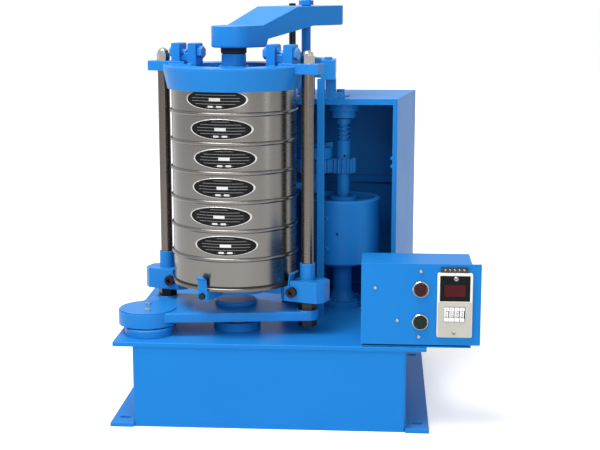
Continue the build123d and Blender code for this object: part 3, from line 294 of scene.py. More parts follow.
def enamel(name, radius, peel, sand, roughness, gloss_level):
    """Blue enamel: edge radius, height of the orange peel and of the sand's grain."""
    material, tree, shader = new_material(name, 0.0, roughness, Specular_IOR_Level=gloss_level)
    spots = place_group(tree, speckle, Coarse_scale=9.0, Fine_scale=420.0)
    edges = place_group(tree, soft_edge, Radius=radius, Reach=0.1, Break_up=0.9)
    body = mix_colour(tree, spots.outputs["Coarse"], ENAMEL_DEEP, ENAMEL)
    # Painted highlight: the edges are painted a paler blue for the light they catch.
    tone = mix_colour(tree, edges.outputs["Mask"], body, ENAMEL_EDGE_HIGHLIGHT)
    tree.links.new(tone, shader.inputs["Base Color"])
    gloss = maths(tree, "MULTIPLY_ADD", spots.outputs["Coarse"], 0.12, roughness - 0.06)
    tree.links.new(gloss, shader.inputs["Roughness"])
    place = node(tree, "ShaderNodeTexCoord").outputs["Object"]
    rough_cast = node(tree, "ShaderNodeTexNoise", {"Vector": place, "Scale": 120.0, "Detail": 3.0})
    height = maths(tree, "MULTIPLY", rough_cast.outputs[0], sand)
    height = maths(tree, "MULTIPLY_ADD", spots.outputs["Fine"], peel, height)
    bump(tree, shader, height, 1.0, 1.0, edges.outputs["Normal"])
    return material


cast_enamel = enamel("cast_enamel", 0.0018, 0.00001, 0.00022, 0.34, 0.12)
sheet_enamel = enamel("sheet_enamel", 0.0009, 0.00001, 0.00001, 0.36, 0.05)
print("enamels", cast_enamel.name, sheet_enamel.name)

# %% [markdown]
# The sieves are spun from stainless sheet and brushed while they turn, so the grain runs
# round them. The posts are ground, and the cranks are turned. An anisotropic shader would
# smear the highlights as well, but the lines themselves would be missing. The grain group
# draws them, and only their scale, the tone and the gloss change from steel to steel.

# %% Brushed, ground and turned steel
def steel(name, tone, roughness, depth, scales, dark=0.8):
    """Bare steel whose brushed lines change its tone, its gloss and its height."""
    material, tree, shader = new_material(name, 1.0, roughness)
    lines = place_group(tree, grain, X_scale=scales[0], Y_scale=scales[1], Z_scale=scales[2])
    spots = place_group(tree, speckle, Coarse_scale=18.0, Fine_scale=600.0)
    darker = tuple(channel * dark for channel in tone[:3]) + (1.0,)
    mixed = maths(tree, "MULTIPLY_ADD", spots.outputs["Coarse"], 0.5, 0.25)
    streaks = maths(tree, "MULTIPLY", lines.outputs["Lines"], mixed)
    colour = mix_colour(tree, streaks, darker, tone)
    tree.links.new(colour, shader.inputs["Base Color"])
    gloss = maths(tree, "MULTIPLY_ADD", lines.outputs["Lines"], 0.22, roughness - 0.11)
    tree.links.new(gloss, shader.inputs["Roughness"])
    bump(tree, shader, lines.outputs["Lines"], 1.0, depth)
    return material


sieve_steel = steel("sieve_steel", linear(120, 117, 114), 0.25, 0.000008, (5.0, 5.0, 2200.0))
ground_steel = steel("ground_steel", linear(104, 97, 92), 0.26, 0.000003, (5.0, 5.0, 2600.0))
turned_steel = steel("turned_steel", linear(150, 149, 146), 0.28, 0.00002, (6.0, 6.0, 1500.0))
bright_zinc = steel("bright_zinc", linear(160, 160, 157), 0.22, 0.00001, (90.0, 90.0, 90.0))
bronze = steel("bronze", linear(160, 124, 72), 0.35, 0.00001, (6.0, 6.0, 1200.0))
chrome = steel("chrome", linear(172, 172, 172), 0.1, 0.000002, (60.0, 60.0, 60.0), 0.9)
metals = (sieve_steel, ground_steel, turned_steel, bright_zinc, bronze, chrome)
print("metals", [metal.name for metal in metals])

# %% [markdown]
# Rubber, moulded plastic and oxidised steel are dense and nearly even. The gloss and the
# grain left by the mould tell them apart. Each could have a graph of its own, but one
# function with a grain scale, a depth and a gloss covers them all.

# %% Black oxide, rubber and plastics
def moulded(name, tone, roughness, fine, depth, metallic=0.0, **sockets):
    """A dense material with a fine grain: rubber, plastic or oxidised steel."""
    sockets.setdefault("Specular_IOR_Level", 0.2)
    material, tree, shader = new_material(name, metallic, roughness, **sockets)
    spots = place_group(tree, speckle, Coarse_scale=30.0, Fine_scale=fine)
    pale = tuple(min(1.0, channel * 1.35 + 0.004) for channel in tone[:3]) + (1.0,)
    colour = mix_colour(tree, spots.outputs["Coarse"], tone, pale)
    tree.links.new(colour, shader.inputs["Base Color"])
    gloss = maths(tree, "MULTIPLY_ADD", spots.outputs["Fine"], 0.2, roughness - 0.1)
    tree.links.new(gloss, shader.inputs["Roughness"])
    bump(tree, shader, spots.outputs["Fine"], 1.0, depth)
    return material


black_oxide = moulded("black_oxide", linear(38, 38, 42), 0.35, 900.0, 0.00001, 0.9)
black_rubber = moulded("black_rubber", linear(26, 26, 28), 0.7, 700.0, 0.00005)
label_grey = moulded("label_grey", linear(166, 164, 156), 0.5, 1200.0, 0.00001)
white_plastic = moulded("white_plastic", linear(236, 236, 230), 0.4, 1200.0, 0.00001)
red_plastic = moulded(
    "red_plastic", linear(44, 4, 9), 0.25, 900.0, 0.000006, Specular_IOR_Level=0.15
)
red_filter = moulded("red_filter", linear(64, 3, 14), 0.2, 900.0, 0.000004, Specular_IOR_Level=0.1)
green_plastic = moulded(
    "green_plastic", linear(3, 26, 22), 0.25, 900.0, 0.000006, Specular_IOR_Level=0.15
)
# This dark finish prints the figures and the signs, and also paints the shade in the screws' slots.
ink_and_slot_shade = moulded("ink_and_slot_shade", linear(24, 24, 28), 0.5, 1500.0, 0.000002)
smoked = new_material(
    "smoked_window", 0.0, 0.14, Base_Color=linear(6, 6, 9), Specular_IOR_Level=0.1
)[0]
print("window", smoked.name, "buttons", red_plastic.name, green_plastic.name)

# %% [markdown]
# The timer is one moulded body, pale where it shows in front of the panel, and black behind
# the panel and in the terminal strip on top. Splitting the solid in two would put a seam
# where the real case has none, so one material changes its colour at the panel's plane and
# under the strip.

# %% Timer case
PANEL_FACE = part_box("control_panel")[0][1]
TIMER_LOW, TIMER_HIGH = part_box("timer_housing")
STRIP_HEIGHT = 0.0078
CASE_TOP = TIMER_HIGH[2] - STRIP_HEIGHT


def two_tone_case():
    """Pale where Y lies before the panel's face and Z is under the strip, black elsewhere."""
    material, tree, shader = new_material("timer_case", 0.0, 0.4)
    place = node(tree, "ShaderNodeTexCoord").outputs["Object"]
    split = node(tree, "ShaderNodeSeparateXYZ", {0: place})
    ahead = maths(tree, "LESS_THAN", split.outputs[1], PANEL_FACE - 0.0002)
    under = maths(tree, "LESS_THAN", split.outputs[2], CASE_TOP)
    shown = maths(tree, "MULTIPLY", ahead, under)
    spots = place_group(tree, speckle, Coarse_scale=40.0, Fine_scale=1300.0)
    pale = mix_colour(tree, spots.outputs["Coarse"], linear(208, 206, 198), linear(224, 222, 215))
    tree.links.new(mix_colour(tree, shown, linear(22, 22, 26), pale), shader.inputs["Base Color"])
    gloss = maths(tree, "MULTIPLY_ADD", spots.outputs["Fine"], 0.15, 0.32)
    tree.links.new(gloss, shader.inputs["Roughness"])
    bump(tree, shader, spots.outputs["Fine"], 1.0, 0.00001)
    return material


timer_case = two_tone_case()
print("case top", round(CASE_TOP, 4), "panel face", round(PANEL_FACE, 4))

# %% [markdown]
# Three sets of screws ride on the swing: bright ones on the disc's cover, black ones in the
# tray's clamps and painted ones in the press ring. They are alike and share one node, so
# they get one material, which tells the three apart by the height they sit at.

# %% Screws of the swing
COVER_SCREWS_TOP, CLAMP_SCREWS_TOP = 0.1885, 0.40


def banded_screws():
    """Bright on the disc cover, black in the tray's clamps, sprayed over on the ring."""
    material, tree, shader = new_material("mixed_screws", 0.0, 0.35)
    place = node(tree, "ShaderNodeTexCoord").outputs["Object"]
    height = node(tree, "ShaderNodeSeparateXYZ", {0: place}).outputs[2]
    low = maths(tree, "LESS_THAN", height, COVER_SCREWS_TOP)
    high = maths(tree, "GREATER_THAN", height, CLAMP_SCREWS_TOP)
    spots = place_group(tree, speckle, Coarse_scale=60.0, Fine_scale=700.0)
    dark = mix_colour(tree, spots.outputs["Coarse"], linear(24, 24, 27), linear(44, 44, 48))
    tone = mix_colour(tree, low, dark, linear(178, 178, 174))
    tone = mix_colour(tree, high, tone, ENAMEL)
    tree.links.new(tone, shader.inputs["Base Color"])
    bare = maths(tree, "SUBTRACT", 1.0, high)
    tree.links.new(maths(tree, "MULTIPLY", bare, 0.9), shader.inputs["Metallic"])
    gloss = maths(tree, "MULTIPLY_ADD", spots.outputs["Fine"], 0.16, 0.24)
    tree.links.new(gloss, shader.inputs["Roughness"])
    bump(tree, shader, spots.outputs["Fine"], 1.0, 0.00002)
    return material


mixed_screws = banded_screws()
print("screw bands end at", COVER_SCREWS_TOP, CLAMP_SCREWS_TOP)

# %% [markdown]
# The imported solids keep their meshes, and each gets one of the finishes on its material
# slots. A finish could be chosen for each node in a line of its own. A table by finish shows
# better what is cast, folded, ground, plated or moulded, and its count proves that no node
# was missed.

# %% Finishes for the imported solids
FINISHES = {
    cast_enamel: (
        "bearing_housings", "tap_bracket", "cam_shelf", "motor", "swing_plate", "swing_covers",
        "tray_beam", "press_ring", "hammer_arm", "tap_plug", "tapping_rod", "drive_shaft",
        "pinion", "preload_spring", "cam_gear", "face_cam", "pan_clips", "lid", "frame_screws",
    ),
    sheet_enamel: ("base_frame", "bed_plate", "pillar", "cabinet", "control_box", "control_panel"),
    turned_steel: ("main_crank", "idler_crank", "crank_pulley", "drive_pulley"),
    ground_steel: ("posts", "tray_plate"),
    sieve_steel: ("pan", *[f"sieve_{number}" for number in range(1, 7)]),
    bronze: ("shaft_bushes",),
    black_oxide: ("guide_rod", "post_nuts"),
    mixed_screws: ("swing_screws",),
    chrome: ("acorn_nuts", "button_bezels"),
    black_rubber: ("rubber_mat", "tap_pad", "belt", "cable_gland"),
    white_plastic: (
        *[f"key_rocker_{number}" for number in range(1, 5)],
        *[f"digit_wheel_{number}" for number in range(1, 5)],
    ),
    red_plastic: ("red_button",),
    green_plastic: ("green_button",),
    smoked: ("timer_window",),
    timer_case: ("timer_housing",),
}


def dress(item, material):
    """Give every material slot of an object the same finish."""
    if not item.data.materials:
        item.data.materials.append(material)
    for number in range(len(item.data.materials)):
        item.data.materials[number] = material


for material, names in FINISHES.items():
    for name in names:
        dress(nodes[name], material)
print("finished", sum(len(names) for names in FINISHES.values()), "of", len(nodes), "nodes")

# %% [markdown]
# New pieces are grids: a function of two parameters gives a whole array of points, and the
# quads between neighbours follow from their row and column numbers. Cylinders and cubes with
# modifiers would do for some of them. Arrays keep each shape's formula in view and make any
# of them from the same few functions.

# %% Grid surfaces
def grid_faces(rows, columns, wrap_rows=False, wrap_columns=False):
    """Quads between neighbours of a rows by columns grid, wrapped where it is closed."""
    row = np.arange(rows if wrap_rows else rows - 1)
    column = np.arange(columns if wrap_columns else columns - 1)
    i, j = np.meshgrid(row, column, indexing="ij")
    k, m = (i + 1) % rows, (j + 1) % columns
    quads = np.stack([i * columns + j, i * columns + m, k * columns + m, k * columns + j], -1)
    return quads.reshape(-1, 4)


def new_piece(name, points, faces, material, body, slot, smooth=True):
    """Object from arrays of points and faces, ridden on a body of the frame."""
    mesh = bpy.data.meshes.new(name)
    mesh.from_pydata(np.asarray(points).reshape(-1, 3).tolist(), [], np.asarray(faces).tolist())
    mesh.validate()
    if smooth:
        mesh.shade_smooth()
    else:
        mesh.shade_flat()
    mesh.materials.append(material)
    piece = bpy.data.objects.new(name, mesh)
    bpy.context.collection.objects.link(piece)
    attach(piece, body)
    return piece


def joined(parts):
    """Several (points, faces) surfaces as one pair of arrays."""
    points, faces, start = [], [], 0
    for part_points, part_faces in parts:
        part_points = np.asarray(part_points).reshape(-1, 3)
        points.append(part_points)
        faces.append(np.asarray(part_faces) + start)
        start += len(part_points)
    return np.concatenate(points), np.concatenate(faces)


def turned(profile, centre, axis="Z", steps=48):
    """Profile of (radius, height) pairs carried round an axis: x = r cos t, y = r sin t."""
    profile = np.asarray(profile, float)
    t = np.linspace(0.0, 2 * np.pi, steps, endpoint=False)
    r, h = profile[:, 0][:, None], profile[:, 1][:, None]
    a, b = r * np.cos(t), r * np.sin(t)
    h = h + 0 * t
    stacked = {"Z": (a, b, h), "Y": (a, -h, b), "X": (h, a, b)}[axis]
    points = np.stack(stacked, -1) + np.asarray(centre)
    return points, grid_faces(len(profile), steps, wrap_columns=True)


print("faces of a 3 by 4 grid", len(grid_faces(3, 4)))

# %% [markdown]
# Each sieve carries an oval plate, black with a bright rim, bent to the sieve's wall. A flat
# ellipse could be pressed on with a Shrinkwrap modifier. The wall is a cylinder, so it is
# enough to make the ellipse's width an angle round the stack. The rim stands a little proud.
# The middle holds only blank bright fields and a few ruled lines. The plate's own UV map
# carries them, because they belong to the oval and not to the place where it sits.

# %% Oval plates on the sieves
STACK_X, STACK_Y = -0.065, -0.102
SHELL_R = 0.102
HAIR = 0.00005
PLATE_HALF_W, PLATE_HALF_H = 0.0530, 0.0164
PLATE_THICKNESS, RIM_RISE = 0.0007, 0.00035
RIM_AT, RIM_SPREAD = 0.955, 0.03
RIM_TO_BEAD, BEAD_TO_PLATE = 0.0075, 0.0188
PLATE_RINGS, PLATE_STEPS = 19, 96
PLATE_TURN = (-0.185, -0.103, -0.047, -0.079, -0.136, -0.039)
# On its map the plate is one wide and one high, and the marks are shares of that.
RIM_FROM, LINES_TO = 0.468, 0.38
LINES_RULED, LINE_HALF, LINE_BRIGHTNESS = 7.0, 0.06, 0.45
CENTRE_HALF_W, CENTRE_HALF_H = 0.085, 0.075
PAIR_X, PAIR_Z, PAIR_HALF_W, PAIR_HALF_H = 0.065, -0.34, 0.04, 0.045


def oval_plate(middle_z, turn):
    """x = W s cos t and z = H s sin t; x over the wall's radius is the angle round the stack."""
    s = np.linspace(0.0, 1.0, PLATE_RINGS)[:, None]
    t = np.linspace(0.0, 2 * np.pi, PLATE_STEPS, endpoint=False)[None, :]
    x = PLATE_HALF_W * s * np.cos(t)
    z = PLATE_HALF_H * s * np.sin(t)
    rim = np.exp(-(((s - RIM_AT) / RIM_SPREAD) ** 2)) * RIM_RISE
    lift = PLATE_THICKNESS * np.clip((1.0 - s) / RIM_SPREAD, 0.0, 1.0) ** 0.5 + rim + 0 * t
    radius = SHELL_R + HAIR + lift
    angle = -np.pi / 2 + turn + x / SHELL_R
    points = np.stack(
        [STACK_X + radius * np.cos(angle), STACK_Y + radius * np.sin(angle), middle_z + z], -1
    )
    return points, grid_faces(PLATE_RINGS, PLATE_STEPS, wrap_columns=True), x, z


def near(tree, value, middle, half):
    """One where the value lies within half of the middle, nought elsewhere."""
    away = maths(tree, "ABSOLUTE", maths(tree, "SUBTRACT", value, middle))
    return maths(tree, "LESS_THAN", away, half)


def plate_material():
    """Bright rim, ruled lines and three blank fields on black, from the plate's UV map."""
    material, tree, shader = new_material("oval_plate", 0.0, 0.35, Specular_IOR_Level=0.12)
    plane = node(tree, "ShaderNodeUVMap", uv_map="plate").outputs[0]
    split = node(tree, "ShaderNodeSeparateXYZ", {0: plane})
    x = maths(tree, "SUBTRACT", split.outputs[0], 0.5)
    z = maths(tree, "SUBTRACT", split.outputs[1], 0.5)
    squares = maths(tree, "ADD", maths(tree, "POWER", x, 2.0), maths(tree, "POWER", z, 2.0))
    distance = maths(tree, "SQRT", squares)
    rim = maths(tree, "GREATER_THAN", distance, RIM_FROM)
    rows = maths(tree, "FRACT", maths(tree, "MULTIPLY", z, LINES_RULED))
    ruled = near(tree, rows, 0.5, LINE_HALF)
    inside = maths(tree, "LESS_THAN", distance, LINES_TO)
    lines = maths(tree, "MULTIPLY", maths(tree, "MULTIPLY", ruled, inside), LINE_BRIGHTNESS)
    centre_x, centre_z = near(tree, x, 0.0, CENTRE_HALF_W), near(tree, z, 0.0, CENTRE_HALF_H)
    centre = maths(tree, "MULTIPLY", centre_x, centre_z)
    pair_x = near(tree, maths(tree, "ABSOLUTE", x), PAIR_X, PAIR_HALF_W)
    pair = maths(tree, "MULTIPLY", pair_x, near(tree, z, PAIR_Z, PAIR_HALF_H))
    fields = maths(tree, "MAXIMUM", centre, pair)
    bright = maths(tree, "MAXIMUM", maths(tree, "MAXIMUM", rim, fields), lines)
    colour = mix_colour(tree, bright, linear(10, 10, 13), linear(196, 196, 194))
    tree.links.new(colour, shader.inputs["Base Color"])
    tree.links.new(maths(tree, "MULTIPLY", bright, 0.85), shader.inputs["Metallic"])
    spots = place_group(tree, speckle, Coarse_scale=60.0, Fine_scale=1200.0)
    gloss = maths(tree, "MULTIPLY_ADD", spots.outputs["Coarse"], 0.2, 0.22)
    tree.links.new(gloss, shader.inputs["Roughness"])
    bump(tree, shader, bright, 1.0, 0.00008)
    return material


plate_finish = plate_material()
for number, turn_angle in enumerate(PLATE_TURN[::-1], 1):
    rim_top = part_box(f"sieve_{number}")[1][2]
    middle = rim_top - RIM_TO_BEAD - BEAD_TO_PLATE
    points, faces, x, z = oval_plate(middle, turn_angle)
    plate = new_piece(f"oval_plate_{number}", points, faces, plate_finish, "swing", "black_plastic")
    layer = plate.data.uv_layers.new(name="plate")
    corners = np.zeros(len(plate.data.loops), dtype=np.int32)
    plate.data.loops.foreach_get("vertex_index", corners)
    flat = np.stack([x.ravel() / PLATE_HALF_W / 2 + 0.5, z.ravel() / PLATE_HALF_H / 2 + 0.5], -1)
    layer.data.foreach_set("uv", flat[corners].ravel())
print("plates at", round(middle, 4))

# %% [markdown]
# Domed rivets hold the control panel. Half a sphere would stand too high, and a flattened
# one would need its scale applied. A rivet's section is a quarter ellipse, so that curve
# carried round an axis gives the right dome at once, and the screws below use it again.

# %% Rivet heads on the control panel
RIVET_R, RIVET_HEIGHT = 0.0034, 0.0022
SEAT = 0.0001


def dome(radius, height, steps=9):
    """Quarter ellipse from the rim to the pole as (radius, height) pairs."""
    a = np.linspace(0.0, np.pi / 2, steps)
    return np.stack([radius * np.cos(a) + 1e-5, height * np.sin(a)], -1)


RIVETS = ((0.1690, 0.2370), (0.2040, 0.1850), (0.2400, 0.2640), (0.2380, 0.1590))
rivets = [
    turned(dome(RIVET_R, RIVET_HEIGHT), (x, PANEL_FACE - SEAT, z), "Y", 24) for x, z in RIVETS
]
rivet_heads = new_piece("rivet_heads", *joined(rivets), bright_zinc, "frame", "chrome")
print("rivets", len(RIVETS), "faces", len(rivet_heads.data.polygons))

# %% [markdown]
# The timer's face is a pale case with a black window over its display and a grey label round
# four small number wheels. A thin plate with an opening could be cut with a Boolean, which
# leaves long thin faces. A ring between two loops has none. Each loop is a squared circle:
# its cosine and sine are raised to a small power, and a power of one gives a true circle.

# %% Plates and rings from squared loops
TIMER_X, WHEELS_Z = 0.293, 0.1974
TIMER_FACE = float(TIMER_LOW[1])


def squared(half_w, half_h, middle, power=0.12, steps=64):
    """x = w sgn(cos t) |cos t|^p and z = h sgn(sin t) |sin t|^p, round a middle point."""
    t = np.linspace(0.0, 2 * np.pi, steps, endpoint=False) + np.pi / steps
    c, s = np.cos(t), np.sin(t)
    x = middle[0] + half_w * np.sign(c) * np.abs(c) ** power
    z = middle[1] + half_h * np.sign(s) * np.abs(s) ** power
    return np.stack([x, z], -1)


def flat_ring(inner, outer, front, back):
    """Loops of (x, z) at two depths: inner back, inner front, outer front, outer back."""
    rows = ((inner, back), (inner, front), (outer, front), (outer, back))
    points = np.stack([np.insert(loop, 1, depth, axis=1) for loop, depth in rows])
    return points, grid_faces(4, len(inner), wrap_rows=True, wrap_columns=True)


def flat_plate(outer, front, back):
    """The same with the inner loop shrunk to its middle."""
    return flat_ring(outer.mean(0) + (outer - outer.mean(0)) * 0.002, outer, front, back)


print("timer face", round(TIMER_FACE, 4), "wheels at", WHEELS_Z)

# %% [markdown]
# The label is a thin card round the opening for the number wheels, the display is a dark red
# filter in the window, and a black collar lines each bright bezel. Painting them on by a
# mask would leave no edge to catch the light, so each is a thin plate or ring of its own, a
# little in front of what carries it.

# %% Label, display and collars
SHARP, SOFT, ROUND = 0.06, 0.1, 1.0
LABEL_FACE, LABEL_BACK = TIMER_FACE - 0.0004, TIMER_FACE + 0.0002
DISPLAY_FACE, DISPLAY_BACK = TIMER_FACE + 0.0006, TIMER_FACE + 0.0011
label_loop = squared(0.0262, 0.0283, (TIMER_X, 0.1890), SHARP)
keys_loop = squared(0.0171, 0.0125, (TIMER_X, WHEELS_Z), SHARP)
label = new_piece(
    "timer_label", *flat_ring(keys_loop, label_loop, LABEL_FACE, LABEL_BACK),
    label_grey, "frame", "black_plastic", smooth=False,
)
display_loop = squared(0.0162, 0.0092, (TIMER_X, 0.2350), SOFT)
display = new_piece(
    "timer_display", *flat_plate(display_loop, DISPLAY_FACE, DISPLAY_BACK),
    red_filter, "frame", "red_plastic", smooth=False,
)
BUTTONS = ((0.240, 0.2355), (0.240, 0.1830))
COLLAR_INNER_R, COLLAR_OUTER_R = 0.0100, 0.0114
BEZEL_FACE = float(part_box("button_bezels")[0][1])
collars = [
    flat_ring(
        squared(COLLAR_INNER_R, COLLAR_INNER_R, middle, ROUND),
        squared(COLLAR_OUTER_R, COLLAR_OUTER_R, middle, ROUND),
        BEZEL_FACE - 0.0003, BEZEL_FACE + 0.0004,
    )
    for middle in BUTTONS
]
bezel_collars = new_piece(
    "bezel_collars", *joined(collars), black_rubber, "frame", "black_rubber", smooth=False
)
for piece in (label, display, bezel_collars):
    print(piece.name, "faces", len(piece.data.polygons))

# %% [markdown]
# Small slotted screws hold the timer, and a row of terminal screws shows over it. A slot cut
# into a head this small would be a few dark pixels wide and cost a Boolean for each. The
# head is the dome again, and the slot is a dark bar laid across it at the screw's own angle.
# That bar is painted shade: it stands for the shadow down in the slot.

# %% Screws of the timer
def slot_bar(middle, half_length, half_width, angle, front, back):
    """A thin bar turned in the panel's plane by an angle."""
    bar = squared(half_length, half_width, (0.0, 0.0), 0.1, 12)
    c, s = np.cos(angle), np.sin(angle)
    turned_bar = bar @ np.array([[c, s], [-s, c]]) + np.asarray(middle)
    return flat_plate(turned_bar, front, back)


WINDOW_FACE = TIMER_FACE + 0.001
# Each screw: x, z, radius, height, the face it sits on, and the slot's angle.
CASE_SCREWS = (
    (0.2945, 0.2540, 0.0040, 0.0021, WINDOW_FACE, 0.4),
    (0.2920, 0.1668, 0.0036, 0.0007, LABEL_FACE, -0.5),
)
STRIP_FACE = PANEL_FACE - 0.004
TERMINAL_X, TERMINAL_PITCH, TERMINAL_Z = 0.2775, 0.0073, 0.2676
TERMINALS = [
    (TERMINAL_X + TERMINAL_PITCH * number, TERMINAL_Z, 0.0019, 0.0012, STRIP_FACE, 0.3 * number)
    for number in range(5)
]
SLOT_LENGTH, SLOT_WIDTH, SLOT_DEPTH = 0.78, 0.14, 0.55
heads, slots = [], []
for x, z, radius, height, face, angle in (*CASE_SCREWS, *TERMINALS):
    heads.append(turned(dome(radius, height), (x, face + SEAT, z), "Y", 24))
    front, back = face - height - SEAT, face - height * SLOT_DEPTH
    slots.append(
        slot_bar((x, z), radius * SLOT_LENGTH, radius * SLOT_WIDTH, angle, front, back)
    )
timer_screws = new_piece("timer_screws", *joined(heads), bright_zinc, "frame", "chrome")
# The slot bars are painted shade: a dark bar where the slot's recess would lie in shadow.
timer_slot_shades = new_piece(
    "timer_slot_shades", *joined(slots), ink_and_slot_shade, "frame", "black_plastic", smooth=False
)
print(timer_screws.name, len(heads), timer_slot_shades.name, len(slots))

# %% [markdown]
# Each number wheel is a drum with the figures 0 to 9 printed round it. An image of them would
# have to be drawn and fitted. Text can be made a mesh instead, but a long straight stroke
# would cut under the drum's curve. So each figure is cut across in bands, and then wrapped:
# its height becomes an angle round the drum.

# %% Number wheels
WHEEL_PITCH, WHEEL_WIDTH, DRUM_R, AXLE_R = 0.0081, 0.0052, 0.0088, 0.00135
WHEEL_Y = TIMER_FACE + 0.0098
DRUM_EDGE, DRUM_STEPS = 0.0003, 60
FIGURE_HEIGHT = 0.0042
FIGURES_SHOWN = (1, 2, 0, 5)


def flat_figure(figure, cuts=9):
    """Points and triangles of one figure, centred and one unit high, cut across in bands."""
    curve = bpy.data.curves.new("figure", "FONT")
    curve.body = str(figure)
    curve.align_x = "CENTER"
    holder = bpy.data.objects.new("figure", curve)
    mesh = bpy.data.meshes.new_from_object(holder)
    cutter = bmesh.new()
    cutter.from_mesh(mesh)
    heights = [corner.co.y for corner in cutter.verts]
    for height in np.linspace(min(heights), max(heights), cuts + 2)[1:-1]:
        everything = cutter.verts[:] + cutter.edges[:] + cutter.faces[:]
        bmesh.ops.bisect_plane(cutter, geom=everything, plane_co=(0, height, 0), plane_no=(0, 1, 0))
    bmesh.ops.triangulate(cutter, faces=cutter.faces[:])
    cutter.to_mesh(mesh)
    cutter.free()
    points = np.zeros(len(mesh.vertices) * 3)
    mesh.vertices.foreach_get("co", points)
    points = points.reshape(-1, 3)[:, :2]
    corners = np.zeros(len(mesh.loops), dtype=np.int32)
    mesh.loops.foreach_get("vertex_index", corners)
    low, high = points.min(0), points.max(0)
    points = (points - (low + high) / 2) / (high[1] - low[1])
    bpy.data.objects.remove(holder)
    bpy.data.curves.remove(curve)
    bpy.data.meshes.remove(mesh)
    return points, corners.reshape(-1, 3)


figure_shapes = [flat_figure(figure) for figure in range(10)]
print("triangles in figure 8", len(figure_shapes[8][1]))


def wrapped(flat, middle_x, angle, radius):
    """Flat (u, v) laid on the drum: x = u, and v over the radius is the angle from the front."""
    phi = angle + flat[:, 1] / radius
    return np.stack(
        [middle_x + flat[:, 0], WHEEL_Y - radius * np.cos(phi), WHEELS_Z + radius * np.sin(phi)], -1
    )


# %% [markdown]
# A rocker key steps each wheel, with a plus over the wheel and a minus under it. The signs
# could be text as the figures are, but they are only straight strokes, so the bars that
# draw the screws' slots draw them too.

# %% Signs on the keys
PAD_SHIFT, PAD_RISE, SIGN_REACH = 0.0004, 0.0012, 0.0085
SIGN_HALF_LENGTH, SIGN_HALF_WIDTH = 0.0013, 0.00025


def plus_and_minus(middle_x):
    """A plus over the wheel and a minus under it, each made of bars on the key's pad."""
    pad_x, pad_face = middle_x - PAD_SHIFT, TIMER_FACE - PAD_RISE
    above, below = (pad_x, WHEELS_Z + SIGN_REACH), (pad_x, WHEELS_Z - SIGN_REACH)
    bars = [(below, 0.0), (above, 0.0), (above, np.pi / 2)]
    return [
        slot_bar(at, SIGN_HALF_LENGTH, SIGN_HALF_WIDTH, angle, pad_face - SEAT, pad_face + SEAT)
        for at, angle in bars
    ]


print("signs reach", SIGN_REACH, "from the wheels' axis")

# %% [markdown]
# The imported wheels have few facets, which would show under a figure. Smooth shading alone
# would leave their corners in the outline, so a turned drum with rounded edges stands for
# each of them and carries its figures as it turns.

# %% Drums, figures and signs together
drum_profile = (
    (AXLE_R, 0.0), (DRUM_R - DRUM_EDGE, 0.0), (DRUM_R, DRUM_EDGE),
    (DRUM_R, WHEEL_WIDTH - DRUM_EDGE), (DRUM_R - DRUM_EDGE, WHEEL_WIDTH), (AXLE_R, WHEEL_WIDTH),
)
drum_faces = grid_faces(len(drum_profile), DRUM_STEPS, wrap_rows=True, wrap_columns=True)
for number, shown in enumerate(FIGURES_SHOWN, 1):
    wheel = f"digit_wheel_{number}"
    middle_x = TIMER_X + (number - 2.5) * WHEEL_PITCH
    left_face = (middle_x - WHEEL_WIDTH / 2, WHEEL_Y, WHEELS_Z)
    points = turned(drum_profile, left_face, "X", DRUM_STEPS)[0]
    drum = new_piece(
        f"number_drum_{number}", points, drum_faces, white_plastic, wheel, "white_plastic"
    )
    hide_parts(wheel)
    figures = []
    for step in range(10):
        flat, triangles = figure_shapes[(shown + step) % 10]
        angle = -step * np.pi / 5
        placed = wrapped(flat * FIGURE_HEIGHT, middle_x, angle, DRUM_R + HAIR)
        figures.append((placed, triangles))
    new_piece(
        f"wheel_figures_{number}", *joined(figures), ink_and_slot_shade, wheel, "black_plastic", smooth=False
    )
    signs = plus_and_minus(middle_x)
    new_piece(
        f"key_marks_{number}", *joined(signs), ink_and_slot_shade, f"key_rocker_{number}", "black_plastic",
        smooth=False,
    )
print("number wheels", len(FIGURES_SHOWN))

# %% [markdown]
# The base box is welded to its rails and to the bed plate. A weld bead is a ridge along a
# corner, with the ripples that the molten pool leaves. A bevelled curve would be as round
# but even, and a displaced one would ripple at random. Here a quarter circle is swept along
# a line, and its radius swings with the distance and falls to nothing at both ends.

# %% Weld beads of the base
BASE_SIDE, RAIL_TOP, BED_UNDER = 0.219, 0.006, 0.134
RIPPLE = 0.0042
RAIL_BEAD_START, RAIL_BEAD_LENGTH, RAIL_BEAD_R = -0.217, 0.434, 0.0028
BED_BEAD_STARTS, BED_BEAD_LENGTH, BED_BEAD_R = (-0.205, -0.095, 0.035, 0.150), 0.052, 0.0026
RIPPLE_DEPTH, BEAD_TAPER, BEAD_OVERLAP, BEAD_ROOT = 0.14, 0.004, 0.15, 0.0004
BEAD_POINTS = 7


def weld_bead(start, length, across, upright, radius):
    """P = line(s) + r (across cos a + upright sin a), r = R (1 + depth sin(2 pi s / ripple))."""
    s = np.linspace(0.0, length, int(length / RIPPLE * 6))[:, None]
    a = np.linspace(-BEAD_OVERLAP, np.pi / 2 + BEAD_OVERLAP, BEAD_POINTS)[None, :]
    ends = np.clip(np.minimum(s, length - s) / BEAD_TAPER, 0.02, 1.0) ** 0.5
    r = radius * ends * (1.0 + RIPPLE_DEPTH * np.sin(2 * np.pi * s / RIPPLE))
    side, height = r * np.cos(a), r * np.sin(a)
    root = np.full_like(s, -BEAD_ROOT)
    side, height = np.hstack([side, root]), np.hstack([height, root])
    line = np.asarray(start) + s[..., None] * np.array([0.0, 1.0, 0.0])
    points = line + side[..., None] * np.asarray(across) + height[..., None] * np.asarray(upright)
    faces = grid_faces(len(s), BEAD_POINTS + 1, wrap_columns=True)
    outwards = np.dot(np.cross(across, upright), (0.0, 1.0, 0.0)) < 0
    return points, faces if outwards else faces[:, ::-1]


